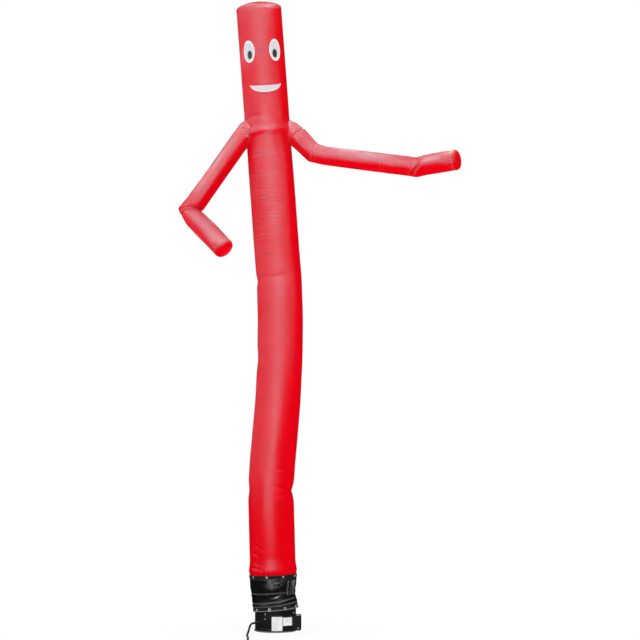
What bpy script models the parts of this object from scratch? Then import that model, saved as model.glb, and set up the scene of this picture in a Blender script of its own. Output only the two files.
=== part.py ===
"""An inflatable air dancer, standing blown up on its blower.

The figure is a sewn nylon sleeve 9 in (0.23 m) across with a domed crown, two sleeve arms and a
stitched-on face. A black vinyl skirt joins its hem to the blower: a binding band with press studs
at the top, an eyelet band at the foot, and a closure flap at one side. The blower is a plain round
drum on a base plate, with a box at one side, a cord and a plug.

Metres, +Z up. The origin is on the floor, at the centre of the blower's flat underside.
Azimuths are in degrees: 0 is the front (-Y), 90 is the figure's right-hand side (+X).
"""

import math
from collections import namedtuple

import bmesh
import bpy
from mathutils import Matrix, Vector

# Driving dimensions
TUBE_RADIUS = 0.1153
NYLON = 0.001
VINYL = 0.0015
PATCH_WALL = 0.001
GAP = 0.0003
AROUND = 36
ARM_AROUND = 18
FIRST_CORNER = -9.0
FACET = 360.0 / AROUND
STUD_AZIMUTHS = [-54.0 + 40.0 * k for k in range(9)]

DRUM_RADIUS = 0.103
DRUM_FOOT = 0.0063
BASE_RADIUS = 0.1068
BASE_HEIGHT = 0.006
COLLAR_RADIUS = 0.1029
COLLAR_TOP = 0.1640

CORD_RADIUS = 0.00525
CORD_SPACING = 0.023
COIL_RADIUS = 0.063

SHARP_ANGLE = math.radians(40.0)

# The sleeve's axis: straight stretches that meet where the inflated tube kinks
AxisRow = namedtuple("AxisRow", "height x y")
AXIS = [
    AxisRow(0.266, -0.0120, 0.0000),
    AxisRow(0.350, -0.0145, 0.0000),
    AxisRow(0.7025, -0.0250, 0.0000),
    AxisRow(0.850, -0.0155, 0.0040),
    AxisRow(0.955, -0.0060, 0.0070),
    AxisRow(1.155, 0.0105, 0.0125),
    AxisRow(1.360, 0.0200, 0.0170),
    AxisRow(1.565, 0.0220, 0.0215),
    AxisRow(1.767, 0.0155, 0.0245),
    AxisRow(1.920, 0.0030, 0.0220),
    AxisRow(2.175, -0.0150, 0.0175),
    AxisRow(2.430, -0.0345, 0.0085),
    AxisRow(2.635, -0.0505, -0.0030),
    AxisRow(2.890, -0.0695, -0.0225),
    AxisRow(3.146, -0.0885, -0.0428),
]

# Where the tube buckles: how deep, how far up and down, and how far round the dent spreads
Fold = namedtuple("Fold", "height azimuth depth reach spread")
FOLDS = [
    Fold(0.7025, 90.0, 0.0125, 0.035, 50.0),
    Fold(1.360, -90.0, 0.0040, 0.050, 45.0),
    Fold(1.767, -80.0, 0.0055, 0.025, 70.0),
    Fold(2.548, 0.0, 0.0035, 0.025, 60.0),
]

# Arms, from inside the chest to the hand's seam. inside and outside stretch a section towards the
# inner and the outer side of a bend, as a share of its radius.
ArmRow = namedtuple("ArmRow", "x y z radius inside outside")
BENT_ARM = [
    ArmRow(-0.0650, -0.0100, 2.5600, 0.0520, 1.00, 1.00),
    ArmRow(-0.1485, -0.0150, 2.5255, 0.0555, 1.00, 0.94),
    ArmRow(-0.1991, -0.0080, 2.4550, 0.0500, 1.00, 1.02),
    ArmRow(-0.3064, 0.0060, 2.3068, 0.0480, 1.08, 1.02),
    ArmRow(-0.4102, 0.0220, 2.1656, 0.0478, 1.17, 1.04),
    ArmRow(-0.4480, 0.0350, 2.1268, 0.0484, 1.38, 1.16),
    ArmRow(-0.4160, 0.0100, 2.0837, 0.0507, 1.00, 1.07),
    ArmRow(-0.3427, -0.0520, 2.0038, 0.0532, 1.03, 1.00),
    ArmRow(-0.2603, -0.1180, 1.9148, 0.0515, 1.02, 1.00),
]
REACHING_ARM = [
    ArmRow(-0.0050, 0.0080, 2.5650, 0.0520, 1.00, 1.00),
    ArmRow(0.0753, 0.0080, 2.5220, 0.0555, 1.02, 1.00),
    ArmRow(0.1130, 0.0050, 2.4900, 0.0490, 1.18, 1.02),
    ArmRow(0.1895, -0.0045, 2.4165, 0.0488, 1.05, 1.07),
    ArmRow(0.2500, -0.0120, 2.4000, 0.0488, 1.00, 1.00),
    ArmRow(0.4750, -0.0570, 2.3635, 0.0485, 1.00, 1.02),
    ArmRow(0.6650, -0.0925, 2.3360, 0.0488, 1.00, 1.04),
    ArmRow(0.7105, -0.1000, 2.3308, 0.0490, 0.93, 1.13),
    ArmRow(0.7500, -0.1190, 2.3350, 0.0500, 1.00, 1.03),
    ArmRow(0.8250, -0.1550, 2.3430, 0.0520, 1.00, 1.00),
    ArmRow(0.9002, -0.1925, 2.3503, 0.0515, 1.00, 1.00),
]
ARM_HOLE_RADIUS = 0.040

# Domes: reach is a share of the seam's radius, rise is the height above the seam
DomeRow = namedtuple("DomeRow", "reach rise")
CROWN = [DomeRow(1.0, 0.0), DomeRow(0.91, 0.0170), DomeRow(0.64, 0.0305), DomeRow(0.25, 0.0385)]
HAND = [DomeRow(1.0, 0.0), DomeRow(0.93, 0.010), DomeRow(0.66, 0.018), DomeRow(0.25, 0.021)]

# The skirt, from its foot up. tilt is how steeply a section rises towards the right.
SkirtRow = namedtuple("SkirtRow", "height x radius tilt")
SKIRT = [
    SkirtRow(0.1250, -0.0010, 0.1131, 5.5),
    SkirtRow(0.1310, -0.0020, 0.1121, 6.0),
    SkirtRow(0.1410, -0.0040, 0.1133, 7.0),
    SkirtRow(0.1500, -0.0055, 0.1106, 7.6),
    SkirtRow(0.1590, -0.0068, 0.1118, 7.0),
    SkirtRow(0.1710, -0.0100, 0.1090, 6.0),
    SkirtRow(0.1840, -0.0105, 0.1112, 4.5),
    SkirtRow(0.1940, -0.0105, 0.1106, 3.5),
    SkirtRow(0.2060, -0.0110, 0.1135, 2.8),
    SkirtRow(0.2275, -0.0115, 0.1166, 1.8),
    SkirtRow(0.2500, -0.0118, 0.1174, 1.7),
    SkirtRow(0.2650, -0.0120, 0.1172, 1.7),
    SkirtRow(0.2810, -0.0125, 0.1172, 1.7),
]
TOP_BAND = [
    SkirtRow(0.2655, -0.0120, 0.1190, 1.7),
    SkirtRow(0.2825, -0.0125, 0.1190, 1.7),
]
EYELET_BAND = [
    SkirtRow(0.1070, 0.0015, 0.1147, 5.0),
    SkirtRow(0.1280, -0.0015, 0.1102, 5.0),
]
STUD_HEIGHT = 0.2740
EYELET_HEIGHT = 0.1155
EYELET_HOLE = 0.0050

# The cord, from the boot's end along the floor to the coil, and from the coil to the plug
CORD_ROUTE = [
    (-0.1012, -0.0850, 0.0470), (-0.1085, -0.0915, 0.0467), (-0.1151, -0.1005, 0.0451),
    (-0.1204, -0.1122, 0.0406), (-0.1241, -0.1266, 0.0331), (-0.1266, -0.1430, 0.0243),
    (-0.1286, -0.1603, 0.0161), (-0.1306, -0.1788, 0.0102), (-0.1321, -0.1990, 0.0069),
    (-0.1330, -0.2220, 0.0057), (-0.1318, -0.2500, 0.0055), (-0.1288, -0.2900, 0.0055),
    (-0.1250, -0.3400, 0.0055), (-0.1225, -0.3900, 0.0055), (-0.1205, -0.4420, 0.0055),
    (-0.1190, -0.5000, 0.0055), (-0.1190, -0.5600, 0.0055), (-0.1190, -0.6161, 0.0055),
]
TAIL_ROUTE = [
    (-0.0127, -0.7235, 0.0152), (0.0100, -0.7240, 0.0125), (0.0320, -0.7230, 0.0088),
    (0.0520, -0.7190, 0.0064), (0.0700, -0.7130, 0.0062), (0.0880, -0.7060, 0.0090),
    (0.1020, -0.7032, 0.0128), (0.1140, -0.7030, 0.0140), (0.1260, -0.7030, 0.0140),
    (0.1380, -0.7030, 0.0140),
]
COIL_CENTRE = (-0.0508, -0.6550)
GLAND_AZIMUTH = -50.0
GLAND_HEIGHT = 0.0470
PLUG_START = Vector((0.1384, -0.7030, 0.0140))


# --- scene and materials ---------------------------------------------------------------------

def clear_scene():
    for thing in list(bpy.data.objects):
        bpy.data.objects.remove(thing, do_unlink=True)


def new_collection(name):
    collection = bpy.data.collections.new(name)
    bpy.context.scene.collection.children.link(collection)
    return collection


def finish_of(name, colour, roughness, metallic=0.0):
    """A Principled material of one colour, roughness and metallic value."""
    material = bpy.data.materials.new(name)
    material.use_nodes = True
    shader = material.node_tree.nodes["Principled BSDF"]
    shader.inputs["Base Color"].default_value = (*colour, 1.0)
    shader.inputs["Roughness"].default_value = roughness
    shader.inputs["Metallic"].default_value = metallic
    return material


def add_object(name, mesh_source, material, collection):
    """An object from a bmesh, with its material, in a collection."""
    mesh = bpy.data.meshes.new(name)
    mesh_source.to_mesh(mesh)
    mesh_source.free()
    mesh.shade_smooth()
    mesh.set_sharp_from_angle(angle=SHARP_ANGLE)
    if material:
        mesh.materials.append(material)
    thing = bpy.data.objects.new(name, mesh)
    collection.objects.link(thing)
    return thing


def add_wall(thing, thickness, offset):
    """Give an open surface its wall: offset -1 grows it inwards and 1 outwards."""
    wall = thing.modifiers.new("wall", "SOLIDIFY")
    wall.thickness = thickness
    wall.offset = offset
    wall.use_even_offset = True


def cut(thing, cutter):
    """Cut one object out of another; the cutter is only a guide."""
    cutter.hide_render = True
    cutter.display_type = "WIRE"
    boolean = thing.modifiers.new("cut", "BOOLEAN")
    boolean.operation = "DIFFERENCE"
    boolean.solver = "EXACT"
    boolean.object = cutter


# --- geometry --------------------------------------------------------------------------------

def outward(azimuth):
    """The horizontal direction that an azimuth points in."""
    angle = math.radians(azimuth)
    return Vector((math.sin(angle), -math.cos(angle), 0.0))


def facet_reach(azimuth):
    """How far out a flat facet lies at an azimuth, as a share of its corners' radius."""
    off_middle = (azimuth - FIRST_CORNER) % FACET - FACET / 2
    return math.cos(math.radians(FACET / 2)) / math.cos(math.radians(off_middle))


def section_axes(tangent):
    """A section's front and right-hand directions, square to the tangent."""
    front = Vector((0.0, -1.0, 0.0))
    front = (front - tangent * front.dot(tangent)).normalized()
    return front, tangent.cross(front)


def corner_azimuths(count):
    return [FIRST_CORNER + 360.0 * k / count for k in range(count)]


def between(rows, height):
    """The table's values at a height, on straight lines between its rows."""
    for low, high in zip(rows, rows[1:]):
        if height <= high.height:
            break
    share = (height - low.height) / (high.height - low.height)
    return [a + (b - a) * share for a, b in zip(low, high)]


def axis_at(height):
    height, x, y = between(AXIS, height)
    return Vector((x, y, height))


def axis_tangent(height):
    low = max(AXIS[0].height, height - 0.03)
    high = min(AXIS[-1].height, height + 0.03)
    return (axis_at(high) - axis_at(low)).normalized()


def fold_depth(height, azimuth):
    """How far the folds push the tube's wall in at a place."""
    depth = 0.0
    for fold in FOLDS:
        turn = (azimuth - fold.azimuth + 180.0) % 360.0 - 180.0
        rise = (height - fold.height) / fold.reach
        depth += fold.depth * math.exp(-rise * rise - (turn / fold.spread) ** 2)
    return depth


def tube_point(height, azimuth, radius):
    """A point of the sleeve's wall, or of a surface at another radius round its axis."""
    front, right = section_axes(axis_tangent(height))
    angle = math.radians(azimuth)
    reach = radius - fold_depth(height, azimuth)
    return axis_at(height) + (front * math.cos(angle) + right * math.sin(angle)) * reach


def tube_heights():
    """Every height at which the sleeve has a section: its axis rows and each fold's own."""
    heights = {row.height for row in AXIS}
    for fold in FOLDS:
        heights |= {fold.height - fold.reach, fold.height, fold.height + fold.reach}
    return sorted(heights)


def skirt_point(rows, height, azimuth, stand_off=0.0):
    """A point on the skirt, or on a band of it, pushed out by a stand-off."""
    height, x, radius, tilt = between(rows, height)
    slope = math.radians(tilt)
    right = Vector((math.cos(slope), 0.0, math.sin(slope)))
    angle = math.radians(azimuth)
    spoke = Vector((0.0, -1.0, 0.0)) * math.cos(angle) + right * math.sin(angle)
    return Vector((x, 0.0, height)) + spoke * (radius + stand_off)


def arm_sections(rows):
    """Sections across an arm, each square to its run and stretched at a bend."""
    places = [Vector((row.x, row.y, row.z)) for row in rows]
    sections = []
    for k, row in enumerate(rows):
        before = places[max(k - 1, 0)]
        after = places[min(k + 1, len(rows) - 1)]
        run_in = (places[k] - before).normalized()
        run_out = (after - places[k]).normalized()
        tangent = (run_in + run_out).normalized()
        front, side = section_axes(tangent)
        section = []
        for azimuth in corner_azimuths(ARM_AROUND):
            angle = math.radians(azimuth)
            stretch = row.outside if math.sin(angle) > 0 else row.inside
            across = side * math.sin(angle) * stretch
            section.append(places[k] + (front * math.cos(angle) + across) * row.radius)
        sections.append(section)
    return sections


def section_frame(section):
    """The middle of a section and the direction it faces along its run."""
    middle = sum(section, Vector()) / len(section)
    quarter = len(section) // 4
    facing = (section[0] - middle).cross(section[quarter] - middle).normalized()
    return middle, facing


def dome_sections(seam, rows, clearance):
    """Sections that close a sleeve over its seam, drawn in and raised row by row."""
    middle, facing = section_frame(seam)
    return [[middle + (corner - middle) * row.reach + facing * (row.rise + clearance)
             for corner in seam] for row in rows]


def loft(sections, close_start=False, close_end=False):
    """A surface run through sections of corners, by extruding the first one's loop."""
    shape = bmesh.new()
    corner = shape.verts.layers.int.new("corner")
    first = bmesh.ops.create_circle(shape, segments=len(sections[0]), radius=1.0)["verts"]
    for k, vertex in enumerate(first):
        vertex[corner] = k
        vertex.co = sections[0][k]
    loop = list(shape.edges)
    if close_start:
        bmesh.ops.edgeloop_fill(shape, edges=loop)
    for section in sections[1:]:
        made = bmesh.ops.extrude_edge_only(shape, edges=loop)["geom"]
        loop = [part for part in made if isinstance(part, bmesh.types.BMEdge) and part.is_boundary]
        for part in made:
            if isinstance(part, bmesh.types.BMVert):
                part.co = section[part[corner]]
    if close_end:
        bmesh.ops.edgeloop_fill(shape, edges=loop)
    bmesh.ops.recalc_face_normals(shape, faces=shape.faces[:])
    face = shape.faces[len(sections[0]) // 2]
    middle = sum(sections[0] + sections[1], Vector()) / (2 * len(sections[0]))
    if face.normal.dot(face.calc_center_median() - middle) < 0 and not close_start:
        bmesh.ops.reverse_faces(shape, faces=shape.faces[:])
    return shape


def patch(columns, row_count, place):
    """A small sheet of columns and rows of corners, put where place(azimuth, share) says."""
    shape = bmesh.new()
    bmesh.ops.create_grid(shape, x_segments=len(columns) - 1, y_segments=row_count, size=1.0)
    for vertex in shape.verts:
        column = round((vertex.co.x + 1) / 2 * (len(columns) - 1))
        vertex.co = place(columns[column], (vertex.co.y + 1) / 2)
    return shape


def patch_columns(low, high):
    """Azimuths of a patch's columns: its two edges, and the facet corners and middles between."""
    half = FACET / 2
    first = math.ceil((low - FIRST_CORNER) / half + 0.2)
    last = math.floor((high - FIRST_CORNER) / half - 0.2)
    return [low] + [FIRST_CORNER + half * k for k in range(first, last + 1)] + [high]


def turned(name, profile, steps, material, collection, matrix):
    """A turned piece: a profile of (radius, height) run down its outer side, screwed round Z."""
    shape = bmesh.new()
    corners = [shape.verts.new((radius, 0.0, height)) for radius, height in profile]
    for low, high in zip(corners, corners[1:]):
        shape.edges.new((low, high))
    if profile[0][0] > 0:
        shape.edges.new((corners[-1], corners[0]))
    thing = add_object(name, shape, material, collection)
    screw = thing.modifiers.new("turn", "SCREW")
    screw.steps = steps
    screw.render_steps = steps
    screw.use_merge_vertices = True
    screw.merge_threshold = 0.00001
    thing.matrix_world = matrix
    return thing


def facing_matrix(place, direction):
    """Stand a piece's Z axis along a direction, at a place."""
    turn = direction.to_track_quat("Z", "Y").to_matrix().to_4x4()
    return Matrix.Translation(place) @ turn


def smooth_route(points, spacing):
    """Points at an even spacing along a smooth curve through a route's own points."""
    route = [Vector(point) for point in points]
    ends = [route[0] * 2 - route[1]] + route + [route[-1] * 2 - route[-2]]
    fine = []
    for before, start, stop, after in zip(ends, ends[1:], ends[2:], ends[3:]):
        for step in range(20):
            t = step / 20
            fine.append(0.5 * (2 * start + (stop - before) * t
                               + (2 * before - 5 * start + 4 * stop - after) * t * t
                               + (3 * start - before - 3 * stop + after) * t ** 3))
    fine.append(route[-1])
    kept = [fine[0]]
    for point in fine[1:]:
        if (point - kept[-1]).length >= spacing:
            kept.append(point)
    if (route[-1] - kept[-1]).length < spacing / 2:
        kept.pop()
    return kept + [route[-1]]


def cord_tube(name, points, material, collection):
    """A round cord along points, with flat ends."""
    curve = bpy.data.curves.new(name, "CURVE")
    curve.dimensions = "3D"
    curve.bevel_depth = CORD_RADIUS
    curve.bevel_resolution = 2
    curve.use_fill_caps = True
    spline = curve.splines.new("POLY")
    spline.points.add(len(points) - 1)
    for spot, point in zip(spline.points, points):
        spot.co = (*point, 1.0)
    curve.materials.append(material)
    thing = bpy.data.objects.new(name, curve)
    collection.objects.link(thing)
    return thing


# --- the figure ------------------------------------------------------------------------------

def make_tube(parts, guides, nylon):
    """The body sleeve, with a hole where each arm is sewn on."""
    sections = [[tube_point(height, azimuth, TUBE_RADIUS) for azimuth in corner_azimuths(AROUND)]
                for height in tube_heights()]
    body = add_object("tube_body", loft(sections), nylon, parts)
    add_wall(body, NYLON, -1.0)
    for name, rows in (("bent", BENT_ARM), ("reaching", REACHING_ARM)):
        start = Vector((rows[0].x, rows[0].y, rows[0].z))
        root = Vector((rows[1].x, rows[1].y, rows[1].z))
        run = root - start
        shape = bmesh.new()
        bmesh.ops.create_cone(shape, cap_ends=True, segments=16, radius1=ARM_HOLE_RADIUS,
                              radius2=ARM_HOLE_RADIUS, depth=2 * run.length,
                              matrix=facing_matrix(root, run))
        cut(body, add_object("arm_hole_" + name, shape, None, guides))
    return sections[-1]


def make_arm(name, rows, chest, parts, nylon):
    """A sleeve arm, its root cut to the body's curve; returns the hand's seam."""
    sections = arm_sections(rows)
    arm = add_object("arm_" + name, loft(sections), nylon, parts)
    add_wall(arm, NYLON, -1.0)
    cut(arm, chest)
    return sections[-1]


def make_chest_form(guides):
    """The solid of the chest, a little fatter, that the arms' roots are cut to."""
    heights = [height for height in tube_heights() if 2.1 < height < 2.9]
    sections = [[tube_point(height, azimuth, TUBE_RADIUS + GAP)
                 for azimuth in corner_azimuths(AROUND)] for height in heights]
    return add_object("chest_form", loft(sections, close_start=True, close_end=True), None, guides)


def make_dome(name, seam, rows, parts, nylon):
    """A puffed end piece sewn over a sleeve's seam; its wall leans in a little below its edge."""
    clearance = GAP + 0.4 * NYLON
    sections = dome_sections(seam, rows, clearance)
    dome = add_object(name, loft(sections, close_end=True), nylon, parts)
    add_wall(dome, NYLON, -1.0)


# A feature's tips are at its azimuth +- half_width and at its height. Its lower and upper edges
# bulge away from that height by below and above.
Feature = namedtuple("Feature", "name azimuth half_width height below above layer")
FACE = [
    Feature("eye_white_left", -33.4, 17.7, 2.9240, -0.0555, 0.0555, 0),
    Feature("eye_white_right", 34.4, 17.7, 2.9240, -0.0555, 0.0555, 0),
    Feature("pupil_left", -33.0, 6.6, 2.9067, -0.0215, 0.0215, 1),
    Feature("pupil_right", 34.0, 6.6, 2.9067, -0.0215, 0.0215, 1),
    Feature("mouth", 4.4, 43.4, 2.7577, -0.0425, -0.0105, 0),
]
BLUNT_TIP = 0.02


def make_face(parts, white, black):
    """Sewn-on eyes, pupils and smile, each hugging the tube's facets."""
    for feature in FACE:
        stand_off = GAP + feature.layer * (PATCH_WALL + GAP)

        def place(azimuth, share):
            across = (azimuth - feature.azimuth) / feature.half_width
            bulge = math.sqrt(max(1.0 - across * across, BLUNT_TIP))
            offset = feature.below + (feature.above - feature.below) * share
            radius = (TUBE_RADIUS + stand_off) * facet_reach(azimuth)
            return tube_point(feature.height + offset * bulge, azimuth, radius)

        columns = patch_columns(feature.azimuth - feature.half_width,
                                feature.azimuth + feature.half_width)
        material = black if feature.layer else white
        piece = add_object(feature.name, patch(columns, 2, place), material, parts)
        add_wall(piece, PATCH_WALL, 1.0)


# --- the skirt -------------------------------------------------------------------------------

def skirt_sections(rows):
    return [[skirt_point(rows, row.height, azimuth) for azimuth in corner_azimuths(AROUND)]
            for row in rows]


def band_facet(rows, height, azimuth):
    """The middle of a facet on a band, and the direction that the facet faces."""
    reach = facet_reach(azimuth)
    point = skirt_point(rows, height, azimuth)
    centre = Vector((between(rows, height)[1], 0.0, height))
    on_facet = centre + (point - centre) * reach
    step = 0.004
    up = skirt_point(rows, height + step, azimuth) - skirt_point(rows, height - step, azimuth)
    along = (skirt_point(rows, height, azimuth + FACET / 2)
             - skirt_point(rows, height, azimuth - FACET / 2))
    return on_facet, along.cross(up).normalized()


def make_skirt(parts, vinyl, webbing):
    skirt = add_object("skirt", loft(skirt_sections(SKIRT)), vinyl, parts)
    add_wall(skirt, VINYL, -1.0)
    band = add_object("skirt_top_band", loft(skirt_sections(TOP_BAND)), webbing, parts)
    add_wall(band, VINYL, -1.0)


def make_studs(parts, metal):
    """Low round press studs along the top band."""
    stud = [(0.0, 0.0026), (0.0030, 0.0024), (0.0042, 0.0014), (0.0045, 0.0), (0.0, 0.0)]
    for number, azimuth in enumerate(STUD_AZIMUTHS, 1):
        place, facing = band_facet(TOP_BAND, STUD_HEIGHT, azimuth)
        turned("press_stud_%d" % number, stud, 10, metal, parts,
               facing_matrix(place + facing * GAP, facing))


def make_eyelet_band(parts, guides, webbing, metal):
    """The foot band, its row of open eyelets and the metal grommets in them."""
    band = add_object("eyelet_band", loft(skirt_sections(EYELET_BAND)), webbing, parts)
    add_wall(band, VINYL, -1.0)
    flange = 0.0075
    barrel = EYELET_HOLE - 0.0004
    bore = 0.0040
    inner = VINYL / 2 + GAP
    outer = inner + 0.0007
    spool = [(flange, outer), (flange, inner), (barrel, inner), (barrel, -inner),
             (flange, -inner), (flange, -outer), (bore, -outer), (bore, outer)]
    punches = bmesh.new()
    for number, azimuth in enumerate(STUD_AZIMUTHS, 1):
        place, facing = band_facet(EYELET_BAND, EYELET_HEIGHT, azimuth)
        middle = place - facing * VINYL / 2
        bmesh.ops.create_cone(punches, cap_ends=True, segments=12, radius1=EYELET_HOLE,
                              radius2=EYELET_HOLE, depth=0.02, matrix=facing_matrix(middle, facing))
        turned("grommet_%d" % number, spool, 12, metal, parts, facing_matrix(middle, facing))
    cut(band, add_object("eyelet_punches", punches, None, guides))


FLAP_LEFT, FLAP_RIGHT = 36.0, 78.0
FLAP_HEIGHTS = [0.1770, 0.1840, 0.1940, 0.2060, 0.2275, 0.2500, 0.2545]


def make_flap(parts, vinyl):
    """The closure flap over the skirt's side opening, lying on the skirt's facets."""
    def place(azimuth, share):
        height = FLAP_HEIGHTS[round(share * (len(FLAP_HEIGHTS) - 1))]
        centre = Vector((between(SKIRT, height)[1], 0.0, height))
        point = skirt_point(SKIRT, height, azimuth, GAP)
        return centre + (point - centre) * facet_reach(azimuth)

    columns = patch_columns(FLAP_LEFT, FLAP_RIGHT)
    flap = add_object("closure_flap", patch(columns, len(FLAP_HEIGHTS) - 1, place), vinyl, parts)
    add_wall(flap, VINYL, 1.0)


# --- the blower ------------------------------------------------------------------------------

def make_drum(parts, plastic, base_plastic):
    """The blower's round drum with the collar that the skirt fits over, on its base plate."""
    drum = [(0.0, COLLAR_TOP), (COLLAR_RADIUS - 0.002, COLLAR_TOP),
            (COLLAR_RADIUS, COLLAR_TOP - 0.002), (COLLAR_RADIUS, 0.1200), (DRUM_RADIUS, 0.1170),
            (DRUM_RADIUS, DRUM_FOOT + 0.002), (DRUM_RADIUS - 0.002, DRUM_FOOT), (0.0, DRUM_FOOT)]
    corner_turn = Matrix.Rotation(math.radians(FIRST_CORNER % FACET), 4, "Z")
    turned("blower_drum", drum, AROUND, plastic, parts, corner_turn)
    base = [(0.0, BASE_HEIGHT), (BASE_RADIUS - 0.002, BASE_HEIGHT), (BASE_RADIUS, BASE_HEIGHT - 0.002),
            (BASE_RADIUS, 0.0015), (BASE_RADIUS - 0.0015, 0.0), (0.0, 0.0)]
    turned("blower_base", base, AROUND, base_plastic, parts, corner_turn)


def make_side_box(parts, guides, plastic):
    """The box at the drum's right-hand side, hollowed to the drum's curve."""
    low = Vector((0.070, -0.0560, 0.0065))
    high = Vector((0.1295, 0.0560, 0.0780))
    shape = bmesh.new()
    bmesh.ops.create_cube(shape, size=1.0)
    bmesh.ops.scale(shape, vec=high - low, verts=shape.verts)
    bmesh.ops.translate(shape, vec=(high + low) / 2, verts=shape.verts)
    right_edges = [edge for edge in shape.edges
                   if all(vertex.co.x > high.x - 0.001 for vertex in edge.verts)]
    bmesh.ops.bevel(shape, geom=right_edges, offset=0.007, segments=2, profile=0.5,
                    affect="EDGES")
    box = add_object("blower_side_box", shape, plastic, parts)
    hollow = bmesh.new()
    radius = DRUM_RADIUS + GAP
    bmesh.ops.create_cone(hollow, cap_ends=True, segments=AROUND, radius1=radius, radius2=radius,
                          depth=0.3, matrix=Matrix.Rotation(math.radians(1.0), 4, "Z"))
    cut(box, add_object("drum_form", hollow, None, guides))


Plate = namedtuple("Plate", "name left right bottom top")
PLATES = [
    Plate("blank_plate_large", -9.0, 21.0, 0.0088, 0.0785),
    Plate("blank_plate_small", 23.0, 54.0, 0.0335, 0.0740),
]


def make_plates(parts, plate_finish):
    """Bare pale plates on the front of the drum."""
    for plate in PLATES:
        def place(azimuth, share):
            height = plate.bottom + (plate.top - plate.bottom) * share
            reach = (DRUM_RADIUS + GAP) * facet_reach(azimuth)
            return outward(azimuth) * reach + Vector((0.0, 0.0, height))

        columns = patch_columns(plate.left, plate.right)
        piece = add_object(plate.name, patch(columns, 1, place), plate_finish, parts)
        add_wall(piece, 0.0008, 1.0)


def make_screws(parts, metal):
    """Screw heads: three on the drum's front and one on the side box."""
    head = [(0.0, 0.0020), (0.0024, 0.0018), (0.0034, 0.0008), (0.0036, 0.0), (0.0, 0.0)]
    spots = [(-28.5, 0.0905), (-28.5, 0.0668), (62.0, 0.0950)]
    for number, (azimuth, height) in enumerate(spots, 1):
        nearest = max(facet_reach(azimuth - 2.0), facet_reach(azimuth), facet_reach(azimuth + 2.0))
        place = outward(azimuth) * (DRUM_RADIUS * nearest + GAP) + Vector((0.0, 0.0, height))
        turned("blower_screw_%d" % number, head, 10, metal, parts,
               facing_matrix(place, outward(azimuth)))
    turned("blower_screw_4", head, 10, metal, parts,
           facing_matrix(Vector((0.1145, -0.0560 - GAP, 0.0180)), outward(0.0)))


# --- the cord --------------------------------------------------------------------------------

def make_cord(parts, rubber, plastic, metal):
    """The boot at the drum, the cord along the floor, its coil, its tail and the plug."""
    boot = [(0.0, 0.0270), (0.0062, 0.0270), (0.0085, 0.0060), (0.0100, 0.0060),
            (0.0100, 0.0), (0.0, 0.0)]
    seat = outward(GLAND_AZIMUTH) * (DRUM_RADIUS + GAP) + Vector((0.0, 0.0, GLAND_HEIGHT))
    turned("cord_gland", boot, 16, plastic, parts, facing_matrix(seat, outward(GLAND_AZIMUTH)))
    cord_tube("cord_run", smooth_route(CORD_ROUTE, CORD_SPACING), rubber, parts)
    cord_tube("cord_tail", smooth_route(TAIL_ROUTE, CORD_SPACING), rubber, parts)
    outer = COIL_RADIUS + 2 * CORD_RADIUS
    inner = COIL_RADIUS - 2 * CORD_RADIUS
    top = 4 * CORD_RADIUS
    edge = 0.002
    ring = [(outer - edge, top), (outer, top - edge), (outer, edge), (outer - edge, 0.0),
            (inner + edge, 0.0), (inner, edge), (inner, top - edge), (inner + edge, top)]
    turned("cord_coil", ring, 32, rubber, parts, Matrix.Translation((*COIL_CENTRE, 0.0)))
    make_plug(parts, plastic, metal)


def make_plug(parts, plastic, metal):
    """A moulded plug lying on the floor, with two flat blades and a round pin."""
    nose, body, radius = 0.014, 0.046, 0.0138
    profile = [(0.0, body), (radius, body), (radius, nose + 0.004), (0.0095, nose),
               (0.0070, 0.0), (0.0, 0.0)]
    turned("plug_body", profile, 16, plastic, parts, facing_matrix(PLUG_START, Vector((1, 0, 0))))
    face = PLUG_START + Vector((body + GAP, 0.0, 0.0))
    for name, side in (("left", -1), ("right", 1)):
        blade = bmesh.new()
        bmesh.ops.create_cube(blade, size=1.0)
        bmesh.ops.scale(blade, vec=(0.016, 0.0016, 0.0063), verts=blade.verts)
        bmesh.ops.translate(blade, vec=face + Vector((0.008, side * 0.0063, 0.003)),
                            verts=blade.verts)
        add_object("plug_blade_" + name, blade, metal, parts)
    pin = [(0.0, 0.0180), (0.0015, 0.0176), (0.0024, 0.0160), (0.0024, 0.0), (0.0, 0.0)]
    turned("plug_pin", pin, 10, metal, parts,
           facing_matrix(face + Vector((0.0, 0.0, -0.0070)), Vector((1, 0, 0))))


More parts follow.
